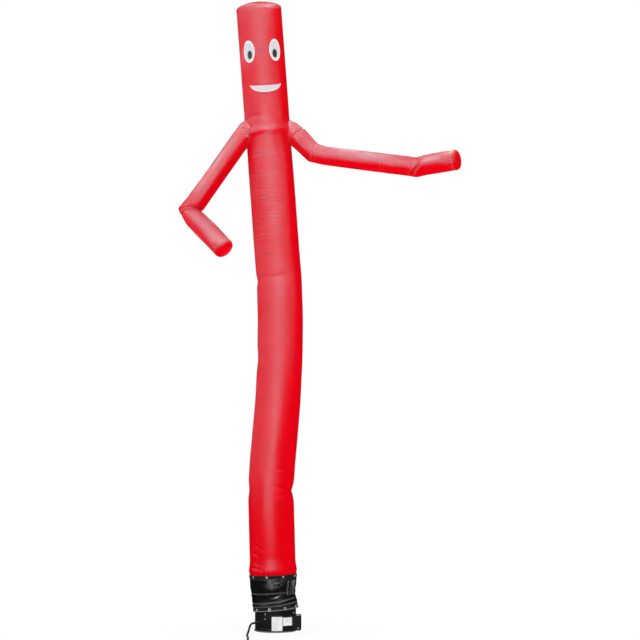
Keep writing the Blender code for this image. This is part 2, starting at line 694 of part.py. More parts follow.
def main():
    clear_scene()
    parts = new_collection("air_dancer")
    guides = new_collection("guides")
    nylon = finish_of("red_nylon", (0.78, 0.005, 0.012), 0.5)
    white = finish_of("white_nylon", (0.80, 0.80, 0.79), 0.6)
    black = finish_of("grey_nylon", (0.06, 0.065, 0.065), 0.6)
    vinyl = finish_of("black_vinyl", (0.012, 0.012, 0.012), 0.3)
    webbing = finish_of("black_webbing", (0.02, 0.02, 0.02), 0.55)
    steel = finish_of("nickel_plate", (0.55, 0.55, 0.54), 0.3, 1.0)
    plastic = finish_of("black_plastic", (0.014, 0.014, 0.014), 0.45)
    base_plastic = finish_of("grey_plastic", (0.10, 0.10, 0.10), 0.5)
    plate_finish = finish_of("pale_plate", (0.75, 0.75, 0.75), 0.5)
    rubber = finish_of("cord_rubber", (0.012, 0.012, 0.012), 0.55)

    crown_seam = make_tube(parts, guides, nylon)
    chest = make_chest_form(guides)
    make_dome("crown_cap", crown_seam, CROWN, parts, nylon)
    make_dome("hand_cap_bent", make_arm("bent", BENT_ARM, chest, parts, nylon), HAND, parts, nylon)
    make_dome("hand_cap_reaching", make_arm("reaching", REACHING_ARM, chest, parts, nylon), HAND,
              parts, nylon)
    make_face(parts, white, black)
    make_skirt(parts, vinyl, webbing)
    make_studs(parts, steel)
    make_eyelet_band(parts, guides, webbing, steel)
    make_flap(parts, vinyl)
    make_drum(parts, plastic, base_plastic)
    make_side_box(parts, guides, plastic)
    make_plates(parts, plate_finish)
    make_screws(parts, steel)
    make_cord(parts, rubber, plastic, steel)


main()
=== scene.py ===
"""The looks of an inflatable air dancer standing on its blower.

The red sleeve figure with its crown, arms and face, and the black skirt under it, are remade as
fine cloth over the plain bodies, with their kinks, puckers and rolls placed one by one. The blower,
its fittings and its lead get rounder forms and their own finishes.

Metres, +Z up. Azimuths are in degrees: 0 is the front (-Y), 90 is the reaching arm's side (+X).
"""

import math
from collections import namedtuple

import bmesh
import bpy
from mathutils import Matrix, Vector, noise


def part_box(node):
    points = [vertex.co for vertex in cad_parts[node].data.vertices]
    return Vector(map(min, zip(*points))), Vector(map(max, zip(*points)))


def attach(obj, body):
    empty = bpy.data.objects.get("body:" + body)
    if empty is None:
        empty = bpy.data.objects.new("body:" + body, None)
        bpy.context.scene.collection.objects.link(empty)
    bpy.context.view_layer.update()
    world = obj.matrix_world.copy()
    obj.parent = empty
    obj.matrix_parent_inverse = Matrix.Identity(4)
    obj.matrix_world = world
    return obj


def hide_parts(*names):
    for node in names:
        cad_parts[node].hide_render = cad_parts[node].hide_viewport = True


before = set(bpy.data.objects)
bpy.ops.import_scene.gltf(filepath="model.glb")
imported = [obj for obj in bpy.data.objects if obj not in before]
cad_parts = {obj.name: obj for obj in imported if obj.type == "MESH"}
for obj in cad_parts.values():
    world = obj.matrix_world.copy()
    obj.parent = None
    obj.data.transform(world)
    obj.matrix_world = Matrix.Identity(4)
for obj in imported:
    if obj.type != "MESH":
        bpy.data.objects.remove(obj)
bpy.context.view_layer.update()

GAP = 0.0003
# Corners nearer than this are one corner
MERGE = 0.000002

# The sleeve and its axis, straight stretches that meet where the tube kinks
TUBE_RADIUS = 0.1153
NYLON = 0.001
HEM_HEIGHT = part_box("tube_body")[0].z + 0.0005
CROWN_HEIGHT = 3.146
AxisRow = namedtuple("AxisRow", "height x y")
AXIS = [
    AxisRow(0.266, -0.0120, 0.0000), AxisRow(0.350, -0.0145, 0.0000),
    AxisRow(0.7025, -0.0250, 0.0000), AxisRow(0.850, -0.0155, 0.0040),
    AxisRow(0.955, -0.0060, 0.0070), AxisRow(1.155, 0.0105, 0.0125),
    AxisRow(1.360, 0.0200, 0.0170), AxisRow(1.565, 0.0220, 0.0215),
    AxisRow(1.767, 0.0155, 0.0245), AxisRow(1.920, 0.0030, 0.0220),
    AxisRow(2.175, -0.0150, 0.0175), AxisRow(2.430, -0.0345, 0.0085),
    AxisRow(2.635, -0.0505, -0.0030), AxisRow(2.890, -0.0695, -0.0225),
    AxisRow(3.146, -0.0885, -0.0428),
]
Dent = namedtuple("Dent", "height azimuth depth reach spread")
DENTS = [
    Dent(0.7025, 90.0, 0.0095, 0.035, 50.0),
    Dent(0.7025, -90.0, 0.0060, 0.030, 50.0),
    Dent(1.360, -90.0, 0.0040, 0.050, 45.0),
    Dent(1.767, -80.0, 0.0055, 0.025, 70.0),
    Dent(2.548, 0.0, 0.0035, 0.025, 60.0),
]

ArmRow = namedtuple("ArmRow", "x y z radius inside outside")
BENT_ARM = [
    ArmRow(-0.0650, -0.0100, 2.5600, 0.0520, 1.00, 1.00),
    ArmRow(-0.1485, -0.0150, 2.5255, 0.0555, 1.00, 0.94),
    ArmRow(-0.1991, -0.0080, 2.4550, 0.0500, 1.00, 1.02),
    ArmRow(-0.3064, 0.0060, 2.3068, 0.0480, 1.08, 1.02),
    ArmRow(-0.4102, 0.0220, 2.1656, 0.0478, 1.17, 1.04),
    ArmRow(-0.4480, 0.0350, 2.1268, 0.0484, 1.38, 1.16),
    ArmRow(-0.4160, 0.0100, 2.0837, 0.0507, 1.00, 1.07),
    ArmRow(-0.3427, -0.0520, 2.0038, 0.0532, 1.03, 1.00),
    ArmRow(-0.2603, -0.1180, 1.9148, 0.0515, 1.02, 1.00),
]
REACHING_ARM = [
    ArmRow(-0.0050, 0.0080, 2.5650, 0.0520, 1.00, 1.00),
    ArmRow(0.0753, 0.0080, 2.5220, 0.0555, 1.02, 1.00),
    ArmRow(0.1130, 0.0050, 2.4900, 0.0490, 1.18, 1.02),
    ArmRow(0.1895, -0.0045, 2.4165, 0.0488, 1.05, 1.07),
    ArmRow(0.2500, -0.0120, 2.4000, 0.0488, 1.00, 1.00),
    ArmRow(0.4750, -0.0570, 2.3635, 0.0485, 1.00, 1.02),
    ArmRow(0.6650, -0.0925, 2.3360, 0.0488, 1.00, 1.04),
    ArmRow(0.7105, -0.1000, 2.3308, 0.0490, 0.93, 1.13),
    ArmRow(0.7500, -0.1190, 2.3350, 0.0500, 1.00, 1.03),
    ArmRow(0.8250, -0.1550, 2.3430, 0.0520, 1.00, 1.00),
    ArmRow(0.9002, -0.1925, 2.3503, 0.0515, 1.00, 1.00),
]
ARM_RADIUS = 0.05
CROWN_RISE = 0.0378
HAND_RISE = 0.0195

# The skirt, from its foot up. tilt is how steeply a section rises towards +X.
SkirtRow = namedtuple("SkirtRow", "height x radius tilt")
SKIRT = [
    SkirtRow(0.1250, -0.0010, 0.1131, 5.5), SkirtRow(0.1310, -0.0020, 0.1121, 6.0),
    SkirtRow(0.1410, -0.0040, 0.1133, 7.0), SkirtRow(0.1500, -0.0055, 0.1106, 7.6),
    SkirtRow(0.1590, -0.0068, 0.1118, 7.0), SkirtRow(0.1710, -0.0100, 0.1090, 6.0),
    SkirtRow(0.1840, -0.0105, 0.1112, 4.5), SkirtRow(0.1940, -0.0105, 0.1106, 3.5),
    SkirtRow(0.2060, -0.0120, 0.1125, 2.8), SkirtRow(0.2275, -0.0120, 0.1160, 1.8),
    SkirtRow(0.2500, -0.0118, 0.1174, 1.7), SkirtRow(0.2650, -0.0120, 0.1172, 1.7),
    SkirtRow(0.2810, -0.0125, 0.1172, 1.7),
]
TOP_BAND = [SkirtRow(0.2655, -0.0120, 0.1190, 1.7), SkirtRow(0.2825, -0.0125, 0.1190, 1.7)]
EYELET_BAND = [SkirtRow(0.1070, 0.0015, 0.1147, 5.0), SkirtRow(0.1280, -0.0015, 0.1102, 5.0)]
VINYL = 0.0015
TOP_BAND_WIDTH = 0.017
EYELET_BAND_WIDTH = 0.0215
STUD_AZIMUTHS = [-54.0 + 40.0 * k for k in range(9)]
STUD_HEIGHT = 0.2740
EYELET_HEIGHT = 0.1155
EYELET_RADIUS = 0.0050

DRUM_RADIUS = 0.103
DRUM_FOOT = 0.0063
BASE_RADIUS = 0.1068
BASE_HEIGHT = 0.006
COLLAR_RADIUS = 0.1029
COLLAR_TOP = 0.1640

# The lead: out of its boot, along the floor, round its coil and out to the plug
CORD_RADIUS = 0.00525
CORD_ROUTE = [
    (-0.1012, -0.0850, 0.0470), (-0.1085, -0.0915, 0.0467), (-0.1151, -0.1005, 0.0451),
    (-0.1204, -0.1122, 0.0406), (-0.1241, -0.1266, 0.0331), (-0.1266, -0.1430, 0.0243),
    (-0.1286, -0.1603, 0.0161), (-0.1306, -0.1788, 0.0102), (-0.1321, -0.1990, 0.0069),
    (-0.1330, -0.2220, 0.0057), (-0.1318, -0.2500, 0.0055), (-0.1288, -0.2900, 0.0055),
    (-0.1250, -0.3400, 0.0055), (-0.1225, -0.3900, 0.0055), (-0.1205, -0.4420, 0.0055),
    (-0.1190, -0.5000, 0.0055), (-0.1190, -0.5600, 0.0055), (-0.1190, -0.6161, 0.0055),
]
TAIL_ROUTE = [
    (-0.0127, -0.7235, 0.0152), (0.0100, -0.7240, 0.0125), (0.0320, -0.7230, 0.0088),
    (0.0520, -0.7190, 0.0064), (0.0700, -0.7130, 0.0062), (0.0880, -0.7060, 0.0090),
    (0.1020, -0.7032, 0.0128), (0.1140, -0.7030, 0.0140), (0.1260, -0.7030, 0.0140),
    (0.1380, -0.7030, 0.0140),
]
COIL_CENTRE = Vector((-0.0508, -0.6550, 0.0))
COIL_RADIUS = 0.063
GLAND_AZIMUTH = -50.0
GLAND_HEIGHT = 0.0470
PLUG_START = Vector((0.1384, -0.7030, 0.0140))


# --- camera, floor and light -----------------------------------------------------------------

LIT_FROM = Vector((-0.25, -0.35, 0.90))
# name, azimuth, distance, lower edge, upper edge, width, radiance
PANELS = [
    ("middle", -10.0, 4.0, 0.40, 4.40, 2.50, 1.50),
    ("left", -52.0, 4.0, 0.92, 4.40, 3.30, 0.83),
    ("far_left", -112.0, 4.0, 0.60, 4.40, 6.00, 0.30),
    ("right", 22.0, 4.0, 1.22, 4.40, 1.90, 0.86),
    ("far_right", 57.0, 4.0, 1.70, 4.40, 3.07, 0.52),
    ("back", 180.0, 4.0, 0.85, 4.40, 1.30, 1.50),
]
# side, height, radiance
CEILING = (10.5, 5.2, 2.85)
UPPER_DOME, LOWER_DOME = 1.08, 1.50


def set_camera():
    """The view: from well in front at chest height of a child, tilted up a little."""
    camera = bpy.data.objects.new("camera", bpy.data.cameras.new("camera"))
    bpy.context.scene.collection.objects.link(camera)
    camera.data.lens = 100.0
    camera.data.sensor_width = 36.0
    camera.location = (0.2235, -9.0, 1.015)
    camera.rotation_euler = (math.radians(90.0 + 3.475), 0.0, 0.0)
    bpy.context.scene.camera = camera


def add_light(light, power, toward, place=(0.0, 0.0, 0.0), gloss=False):
    """Hang a light; one that is for gloss adds nothing to plain colour, and the other way."""
    light.energy = power
    light.cycles.use_multiple_importance_sampling = False
    lamp = bpy.data.objects.new(light.name, light)
    bpy.context.scene.collection.objects.link(lamp)
    lamp.location = place
    lamp.rotation_euler = Vector(toward).to_track_quat("-Z", "Y").to_euler()
    lamp.visible_camera = False
    lamp.visible_diffuse = not gloss
    lamp.visible_glossy = gloss


def add_panel(name, azimuth, distance, low, high, width, radiance):
    """A tall soft panel that stands round the figure and faces it."""
    light = bpy.data.lights.new(name, "AREA")
    light.shape = "RECTANGLE"
    light.size, light.size_y = width, high - low
    place = outward(azimuth) * distance + Vector((0.0, 0.0, (low + high) / 2))
    add_light(light, radiance * math.pi * width * (high - low), -outward(azimuth), place,
              gloss=True)


def add_ceiling(side, height, radiance):
    """The white ceiling that shines along the tops of the arms and on the crown."""
    light = bpy.data.lights.new("ceiling", "AREA")
    light.shape = "SQUARE"
    light.size = side
    add_light(light, radiance * math.pi * side * side, (0.0, 0.0, -1.0),
              (-1.0, -2.2, height), gloss=True)


def add_dome(name, toward, strength):
    """Soft light from one whole side."""
    light = bpy.data.lights.new(name, "SUN")
    light.angle = math.radians(172.0)
    add_light(light, strength * math.pi, toward)


def set_lights():
    """Even light from all round for the colours, and soft panels for the gloss."""
    world = bpy.data.worlds.new("white_room")
    bpy.context.scene.world = world
    world.use_nodes = True
    world.node_tree.nodes.clear()
    mix = Palette(world.node_tree)
    seen = mix.node("ShaderNodeLightPath", {}, {}, out="Is Camera Ray")
    room = mix.node("ShaderNodeBackground", {}, {"Color": (1.0, 1.0, 1.0, 1.0),
                                                 "Strength": seen})
    mix.node("ShaderNodeOutputWorld", {}, {"Surface": room})
    add_dome("upper_dome", -LIT_FROM, UPPER_DOME)
    add_dome("lower_dome", LIT_FROM, LOWER_DOME)
    for panel in PANELS:
        add_panel(*panel)
    add_ceiling(*CEILING)
    bpy.context.scene.view_settings.view_transform = "Standard"


# --- finishes --------------------------------------------------------------------------------

class Wire:
    """A shader value that sums are written on."""

    def __init__(self, paint, socket):
        self.paint, self.socket = paint, socket

    def __add__(self, other):
        return self.paint.sum("ADD", self, other)

    def __sub__(self, other):
        return self.paint.sum("SUBTRACT", self, other)

    def __rsub__(self, other):
        return self.paint.sum("SUBTRACT", other, self)

    def __mul__(self, other):
        return self.paint.sum("MULTIPLY", self, other)

    def __truediv__(self, other):
        return self.paint.sum("DIVIDE", self, other)

    def __pow__(self, other):
        return self.paint.sum("POWER", self, other)

    __radd__, __rmul__ = __add__, __mul__


class Palette:
    """A node tree, and the one way that its nodes are made."""

    def __init__(self, tree):
        self.tree = tree

    def node(self, kind, settings, values, out=0):
        """Any node: its settings, then its sockets by name or number, then which output."""
        made = self.tree.nodes.new(kind)
        for key, value in settings.items():
            setattr(made, key, value)
        for key, value in values.items():
            if isinstance(value, Wire):
                self.tree.links.new(value.socket, made.inputs[key])
            else:
                made.inputs[key].default_value = value
        return Wire(self, made.outputs[out]) if made.outputs else None

    def sum(self, operation, first, second=0.0):
        """One step of arithmetic."""
        return self.node("ShaderNodeMath", {"operation": operation}, {0: first, 1: second})

    def step(self, value, low, high):
        """0 below low, 1 above high and smooth between."""
        return self.node("ShaderNodeMapRange", {"interpolation_type": "SMOOTHSTEP"},
                         {"Value": value, "From Min": low, "From Max": high})

    def blend(self, share, first, second):
        """A colour between two, by a share from 0 to 1."""
        colours = [value if isinstance(value, Wire) else (*value, 1.0) for value in (first, second)]
        return self.node("ShaderNodeMix", {"data_type": "RGBA"},
                         {0: share, 6: colours[0], 7: colours[1]}, out=2)


class Paint(Palette):
    """A finish: one material, with the surface that its wires feed."""

    def __init__(self, name, colour, roughness, metallic=0.0, **plain):
        self.material = bpy.data.materials.new(name)
        self.material.use_nodes = True
        super().__init__(self.material.node_tree)
        self.shader = self.tree.nodes["Principled BSDF"]
        self.feed("Base Color", (*colour, 1.0))
        self.feed("Roughness", roughness)
        self.feed("Metallic", metallic)
        for socket, value in plain.items():
            self.feed(socket.replace("_", " ").title().replace("Ior", "IOR"), value)

    def feed(self, socket, value):
        """Give one of the surface's own sockets a value or a wire."""
        if isinstance(value, Wire):
            self.tree.links.new(value.socket, self.shader.inputs[socket])
        else:
            self.shader.inputs[socket].default_value = value

    def cloth_place(self):
        """Where a point lies on the flat cloth, in metres: across, along."""
        return self.node("ShaderNodeUVMap", {"uv_map": "cloth"}, {})

    def place(self):
        """Where a point lies on the object."""
        return self.node("ShaderNodeTexCoord", {}, {}, out="Object")

    def marked(self, name):
        """The number that a piece's corners carry under a name."""
        return self.node("ShaderNodeAttribute", {"attribute_name": name}, {}, out="Fac")

    def stretched(self, where, across, along, up=1.0):
        """A place with its numbers scaled, for a pattern that is finer one way."""
        return self.node("ShaderNodeVectorMath", {"operation": "MULTIPLY"},
                         {0: where, 1: (across, along, up)})

    def parts(self, where):
        """A place's three numbers."""
        split = self.tree.nodes.new("ShaderNodeSeparateXYZ")
        self.tree.links.new(where.socket, split.inputs[0])
        return [Wire(self, output) for output in split.outputs]

    def mottle(self, where, scale, detail=2.0, roughness=0.5):
        """Soft uneven noise from 0 to 1."""
        return self.node("ShaderNodeTexNoise", {},
                         {"Vector": where, "Scale": scale, "Detail": detail,
                          "Roughness": roughness})

    def wave(self, value, pitch):
        """A ridge and a hollow in every pitch, from 0 to 1."""
        return self.sum("SINE", value * (2 * math.pi / pitch)) * 0.5 + 0.5

    def relief(self, height, depth, under=None):
        """Bump the surface by a height from 0 to 1, over any bump under it."""
        values = {"Height": height, "Distance": depth, "Strength": 1.0}
        if under:
            values["Normal"] = under
        return self.node("ShaderNodeBump", {}, values)


def woven(paint, pitch, depth, under=None):
    """The fine over and under of a plain weave."""
    across, along, _ = paint.parts(paint.cloth_place())
    threads = paint.wave(across, pitch) * paint.wave(along, pitch)
    return paint.relief(threads, depth, under)


def nylon_finish():
    """Thin coated red nylon: close weave with a reinforcing grid, a soft gloss, painted shade in its
    creases and painted highlights on its ridges, seams and fine wrinkles.
    """
    paint = Paint("red_nylon", (0.70, 0.001, 0.006), 0.45, specular_ior_level=1.0,
                  specular_tint=(0.30, 1.0, 1.12, 1.0))
    where = paint.cloth_place()
    across, along, _ = paint.parts(where)
    grid_pitch, line = 0.006, 0.90
    grid = (paint.step(paint.wave(across, grid_pitch), line, 1.0)
            + paint.step(paint.wave(along, grid_pitch), line, 1.0))
    uneven = paint.mottle(paint.stretched(where, 1.0, 2.2), 5.0, 3.0)
    tone = paint.blend(uneven, (0.72, 0.0002, 0.0055), (0.79, 0.0008, 0.0085))
    crease_shade = paint.marked("crease_shade")
    ridge_highlight = paint.marked("ridge_highlight")
    tone = paint.blend(grid * 0.10, tone, (0.60, 0.0, 0.005))
    # painted shade: creases darkened, and made metallic and rougher so that they lose their light
    tone = paint.blend(crease_shade, tone, (0.66, 0.006, 0.012))
    paint.feed("Metallic", crease_shade * 0.85)
    paint.feed("Roughness", 0.165 + uneven * 0.06 + crease_shade * 0.25)
    crinkle = paint.mottle(paint.stretched(where, 9.0, 90.0), 1.0, 3.0, 0.55)
    ribbed = paint.marked("ribbed")
    rib_bumps_and_highlights = paint.step(paint.mottle(paint.stretched(where, 9.0, 150.0), 1.0, 1.0), 0.42, 0.66)
    rib_bumps_and_highlights = rib_bumps_and_highlights * ribbed * paint.step(paint.mottle(where, 9.0, 2.0), 0.34, 0.60)
    folds = paint.relief(rib_bumps_and_highlights, 0.0006, paint.relief(crinkle, 0.0011))
    # painted highlight: the fine crossways wrinkles lightened to pink, over their bumps
    tone = paint.blend(rib_bumps_and_highlights * 0.34, tone, (0.80, 0.085, 0.10))
    # painted highlight: ridges, seams and the hand's arc lightened to a pale pink
    paint.feed("Base Color", paint.blend(ridge_highlight * 0.6, tone, (0.80, 0.15, 0.17)))
    paint.feed("Normal", woven(paint, 0.0011, 0.00002, paint.relief(grid, 0.00005, folds)))
    return paint.material


def patch_finish(name, light, dark, rim_colour):
    """Matt nylon of a face patch, with a turned, stitched rim."""
    paint = Paint(name, light, 0.62, specular_ior_level=0.25, sheen_weight=0.08)
    rim = paint.marked("rim")
    uneven = paint.mottle(paint.stretched(paint.cloth_place(), 1.0, 1.0), 60.0, 3.0)
    tone = paint.blend(uneven, light, dark)
    paint.feed("Base Color", paint.blend(paint.step(rim, 0.80, 0.86), tone, rim_colour))
    paint.feed("Roughness", 0.55 + uneven * 0.12)
    paint.feed("Normal", woven(paint, 0.0009, 0.00003))
    return paint.material


def vinyl_finish():
    """Supple black sheet: glossy, faintly grained; greyer and duller along its creases, rolls and
    welt, which is wear and painted highlight, with brighter painted glints.
    """
    paint = Paint("black_vinyl", (0.006, 0.006, 0.006), 0.2, specular_ior_level=0.38)
    where = paint.cloth_place()
    scuff = paint.mottle(paint.stretched(where, 1.0, 3.0), 22.0, 4.0, 0.6)
    fine = paint.mottle(where, 900.0, 2.0)
    # wear on the fold crests, with painted highlights on the folds, rolls, welt and front, and
    # painted glints above 1.05
    wear_and_highlight = paint.marked("wear_and_highlight")
    worn_and_lit = paint.step(wear_and_highlight * (0.7 + scuff * 0.6), 0.06, 1.05)
    tone = paint.blend(scuff, (0.003, 0.003, 0.003), (0.007, 0.007, 0.007))
    tone = paint.blend(worn_and_lit, tone, (0.072, 0.072, 0.073))
    # painted glint: a near white painted highlight
    painted_glint = paint.step(wear_and_highlight, 1.05, 2.0)
    paint.feed("Base Color", paint.blend(painted_glint, tone, (0.60, 0.60, 0.60)))
    paint.feed("Roughness", 0.13 + scuff * 0.10 + worn_and_lit * 0.08)
    paint.feed("Normal", paint.relief(fine, 0.00003, paint.relief(scuff, 0.0004)))
    return paint.material


def webbing_finish():
    """Close black binding tape with ribs across it."""
    paint = Paint("black_webbing", (0.02, 0.02, 0.02), 0.55, specular_ior_level=0.20)
    where = paint.cloth_place()
    across, along, _ = paint.parts(where)
    rib = paint.wave(across, 0.0016)
    dusty = paint.mottle(where, 70.0, 3.0)
    tone = paint.blend(dusty, (0.004, 0.004, 0.004), (0.011, 0.011, 0.011))
    tone = paint.blend(rib * 0.25, tone, (0.020, 0.020, 0.020))
    # painted highlight: lightened toward grey where a piece marks it
    wear_and_highlight = paint.marked("wear_and_highlight")
    paint.feed("Base Color", paint.blend(wear_and_highlight, tone, (0.125, 0.125, 0.125)))
    paint.feed("Roughness", 0.48 + dusty * 0.18)
    weave = paint.relief(paint.wave(along, 0.0012), 0.00005)
    paint.feed("Normal", paint.relief(rib, 0.0001, weave))
    return paint.material


def metal_finish():
    """Nickel-plated fittings, a little handled."""
    paint = Paint("nickel_plate", (0.62, 0.61, 0.59), 0.28, metallic=0.55)
    rubbed = paint.mottle(paint.place(), 420.0, 3.0)
    paint.feed("Base Color", paint.blend(rubbed, (0.60, 0.60, 0.59), (0.82, 0.81, 0.79)))
    paint.feed("Roughness", 0.20 + rubbed * 0.22)
    paint.feed("Normal", paint.relief(rubbed, 0.00004))
    return paint.material


def plastic_finish(name, dark, light, roughness):
    """Moulded plastic with a fine spark grain and a little handling."""
    paint = Paint(name, dark, roughness, specular_ior_level=0.45)
    where = paint.place()
    handled = paint.mottle(where, 18.0, 4.0, 0.6)
    grain = paint.mottle(where, 1400.0, 2.0)
    paint.feed("Base Color", paint.blend(handled, dark, light))
    paint.feed("Roughness", (roughness - 0.08) + handled * 0.18)
    paint.feed("Normal", paint.relief(grain, 0.00005, paint.relief(handled, 0.0002)))
    return paint.material


def plate_finish():
    """A bare pale plate, faintly smudged."""
    paint = Paint("pale_plate", (0.75, 0.75, 0.75), 0.45, specular_ior_level=0.4)
    smudge = paint.mottle(paint.place(), 45.0, 4.0, 0.65)
    paint.feed("Base Color", paint.blend(paint.step(smudge, 0.35, 0.7), (0.80, 0.80, 0.80),
                                         (0.66, 0.66, 0.67)))
    paint.feed("Roughness", 0.36 + smudge * 0.2)
    paint.feed("Normal", paint.relief(smudge, 0.0001))
    return paint.material


def rubber_finish():
    """Matt black lead sheath, with dust in its pores."""
    paint = Paint("cord_rubber", (0.012, 0.012, 0.012), 0.55, specular_ior_level=0.35)
    where = paint.place()
    dust = paint.mottle(where, 110.0, 4.0, 0.65)
    paint.feed("Base Color", paint.blend(dust, (0.005, 0.005, 0.005), (0.012, 0.012, 0.012)))
    paint.feed("Roughness", 0.44 + dust * 0.22)
    paint.feed("Normal", paint.relief(paint.mottle(where, 900.0, 2.0), 0.00006))
    return paint.material


def thread_finish(name, colour):
    """Twisted sewing thread."""
    paint = Paint(name, colour, 0.6, specular_ior_level=0.3)
    twist = paint.mottle(paint.place(), 1500.0, 2.0)
    darker = tuple(0.6 * value for value in colour)
    paint.feed("Base Color", paint.blend(twist, darker, colour))
    paint.feed("Normal", paint.relief(twist, 0.0001))
    return paint.material


def floor_finish():
    """White floor that keeps only a faint shade close round the blower."""
    material = bpy.data.materials.new("floor")
    material.use_nodes = True
    material.node_tree.nodes.clear()
    mix = Palette(material.node_tree)
    where = mix.node("ShaderNodeTexCoord", {}, {}, out="Object")
    away = mix.node("ShaderNodeVectorMath", {"operation": "LENGTH"}, {0: where}, out="Value")
    seen = mix.node("ShaderNodeLightPath", {}, {}, out="Is Camera Ray")
    matt = mix.node("ShaderNodeBsdfDiffuse", {},
                    {"Color": mix.blend(seen, (0.0, 0.0, 0.0), (0.90, 0.90, 0.90))})
    white = mix.node("ShaderNodeEmission", {}, {"Strength": seen})
    share = 0.87 + mix.step(away, 0.15, 0.80) * 0.13
    floor = mix.node("ShaderNodeMixShader", {}, {0: share, 1: matt, 2: white})
    mix.node("ShaderNodeOutputMaterial", {}, {"Surface": floor})
    return material


def lay_floor():
    """The floor, which takes no part in the object."""
    shape = bmesh.new()
    bmesh.ops.create_grid(shape, x_segments=1, y_segments=1, size=30.0)
    mesh = bpy.data.meshes.new("floor")
    shape.to_mesh(mesh)
    shape.free()
    mesh.materials.append(floor_finish())
    floor = bpy.data.objects.new("floor", mesh)
    floor.location.z = -0.0002
    floor.visible_shadow = False
    bpy.context.scene.collection.objects.link(floor)


# --- making pieces ---------------------------------------------------------------------------

def clamp(value):
    """A value kept between 0 and 1."""
    return min(1.0, max(0.0, value))


def bell(value, middle, width, power=2):
    """1 at the middle, dying away on both sides; a higher power has a flatter top."""
    return math.exp(-((value - middle) / width) ** power)


def azimuth_at(across):
    """The azimuth at a share from 0 to 1 across a cloth that is seamed at the back."""
    return across * 360.0 - 180.0


def add_piece(name, shape, finish, nodes=(), wall=0.0, offset=-1.0):
    """A finished piece that rides on the figure and stands for its plain bodies."""
    mesh = bpy.data.meshes.new(name)
    shape.to_mesh(mesh)
    shape.free()
    mesh.materials.append(finish)
    mesh.shade_smooth()
    piece = bpy.data.objects.new(name, mesh)
    bpy.context.scene.collection.objects.link(piece)
    if wall:
        shell = piece.modifiers.new("wall", "SOLIDIFY")
        shell.thickness = wall
        shell.offset = offset
        shell.use_even_offset = True
    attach(piece, "root")
    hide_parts(*nodes)
    return piece


def cloth_grid(columns, rows, size, place, closed=False, marks=None):
    """A grid of cloth, size metres across and along, each corner put where place says.

    place takes two shares from 0 to 1, across and along, and so does each of the marks, which
    are numbers that the finish reads by name. A closed grid is joined into a tube.
    columns and rows are how many there are, or the shares at which they lie where uneven.
    """
    shape = bmesh.new()
    counts = [lines if isinstance(lines, int) else len(lines) - 1 for lines in (columns, rows)]
    bmesh.ops.create_grid(shape, x_segments=counts[0], y_segments=counts[1], size=0.5)
    for vertex in shape.verts:
        for axis, lines in enumerate((columns, rows)):
            if not isinstance(lines, int):
                step = round((vertex.co[axis] + 0.5) * counts[axis])
                vertex.co[axis] = lines[step] - 0.5
        vertex.co += Vector((0.5, 0.5, 0.0))
    flat = shape.loops.layers.uv.new("cloth")
    for face in shape.faces:
        for loop in face.loops:
            loop[flat].uv = (loop.vert.co.x * size[0], loop.vert.co.y * size[1])
    for name, value in (marks or {}).items():
        layer = shape.verts.layers.float.new(name)
        for vertex in shape.verts:
            vertex[layer] = value(vertex.co.x, vertex.co.y)
    for vertex in shape.verts:
        vertex.co = place(vertex.co.x, vertex.co.y)
    if closed:
        bmesh.ops.remove_doubles(shape, verts=shape.verts, dist=MERGE)
    return shape


def spread_lines(first, last, close, fine, coarse):
    """Shares from 0 to 1 for a grid's lines: fine apart in the close stretches, else coarse."""
    lines = [first]
    while lines[-1] < last:
        at = lines[-1]
        near = any(low - coarse / 2 <= at < high for low, high in close)
        lines.append(at + (fine if near else coarse))
    scale = (last - first) / (lines[-1] - first)
    return [(line - first) * scale / (last - first) for line in lines]


def turned_shape(profile, steps, matrix=None):
    """A profile of (radius, height), run down its outer side, spun round Z and closed."""
    shape = bmesh.new()
    corners = [shape.verts.new((radius, 0.0, height)) for radius, height in profile]
    edges = [shape.edges.new(pair) for pair in zip(corners, corners[1:])]
    bmesh.ops.spin(shape, geom=corners + edges, cent=(0, 0, 0), axis=(0, 0, 1),
                   angle=math.tau, steps=steps, use_merge=True)
    bmesh.ops.remove_doubles(shape, verts=shape.verts, dist=MERGE)
    bmesh.ops.recalc_face_normals(shape, faces=shape.faces)
    if matrix:
        bmesh.ops.transform(shape, matrix=matrix, verts=shape.verts)
    return shape


def rounded(profile, radius, arcs=3):
    """A profile with its sharp corners rounded off."""
    out = [profile[0]]
    for before, corner, after in zip(profile, profile[1:], profile[2:]):
        corner = Vector(corner)
        to_before, to_after = Vector(before) - corner, Vector(after) - corner
        cut = min(radius, to_before.length * 0.45, to_after.length * 0.45)
        start = corner + to_before.normalized() * cut
        stop = corner + to_after.normalized() * cut
        for k in range(arcs + 1):
            share = k / arcs
            out.append(tuple(start * (1 - share) ** 2 + corner * 2 * share * (1 - share)
                             + stop * share ** 2))
    return out + [profile[-1]]


def outward(azimuth):
    """The level direction that an azimuth points in."""
    angle = math.radians(azimuth)
    return Vector((math.sin(angle), -math.cos(angle), 0.0))


def facing(place, direction):
    """Stand a piece's Z axis along a direction, at a place."""
    return Matrix.Translation(place) @ direction.to_track_quat("Z", "Y").to_matrix().to_4x4()


def sew(name, spots, finish, length=0.0042, thickness=0.0007):
    """A row of stitches: each spot is (place, direction along the seam, direction outwards)."""
    shape = bmesh.new()
    for place, along, out in spots:
        side = out.cross(along).normalized()
        along = side.cross(out).normalized()
        turn = Matrix((along, side, out.normalized())).transposed().to_4x4()
        size = Matrix.Diagonal((length / 2, thickness / 2, thickness / 2, 1.0))
        bmesh.ops.create_icosphere(shape, subdivisions=1, radius=1.0,
                                   matrix=Matrix.Translation(place) @ turn @ size)
    return add_piece(name, shape, finish)


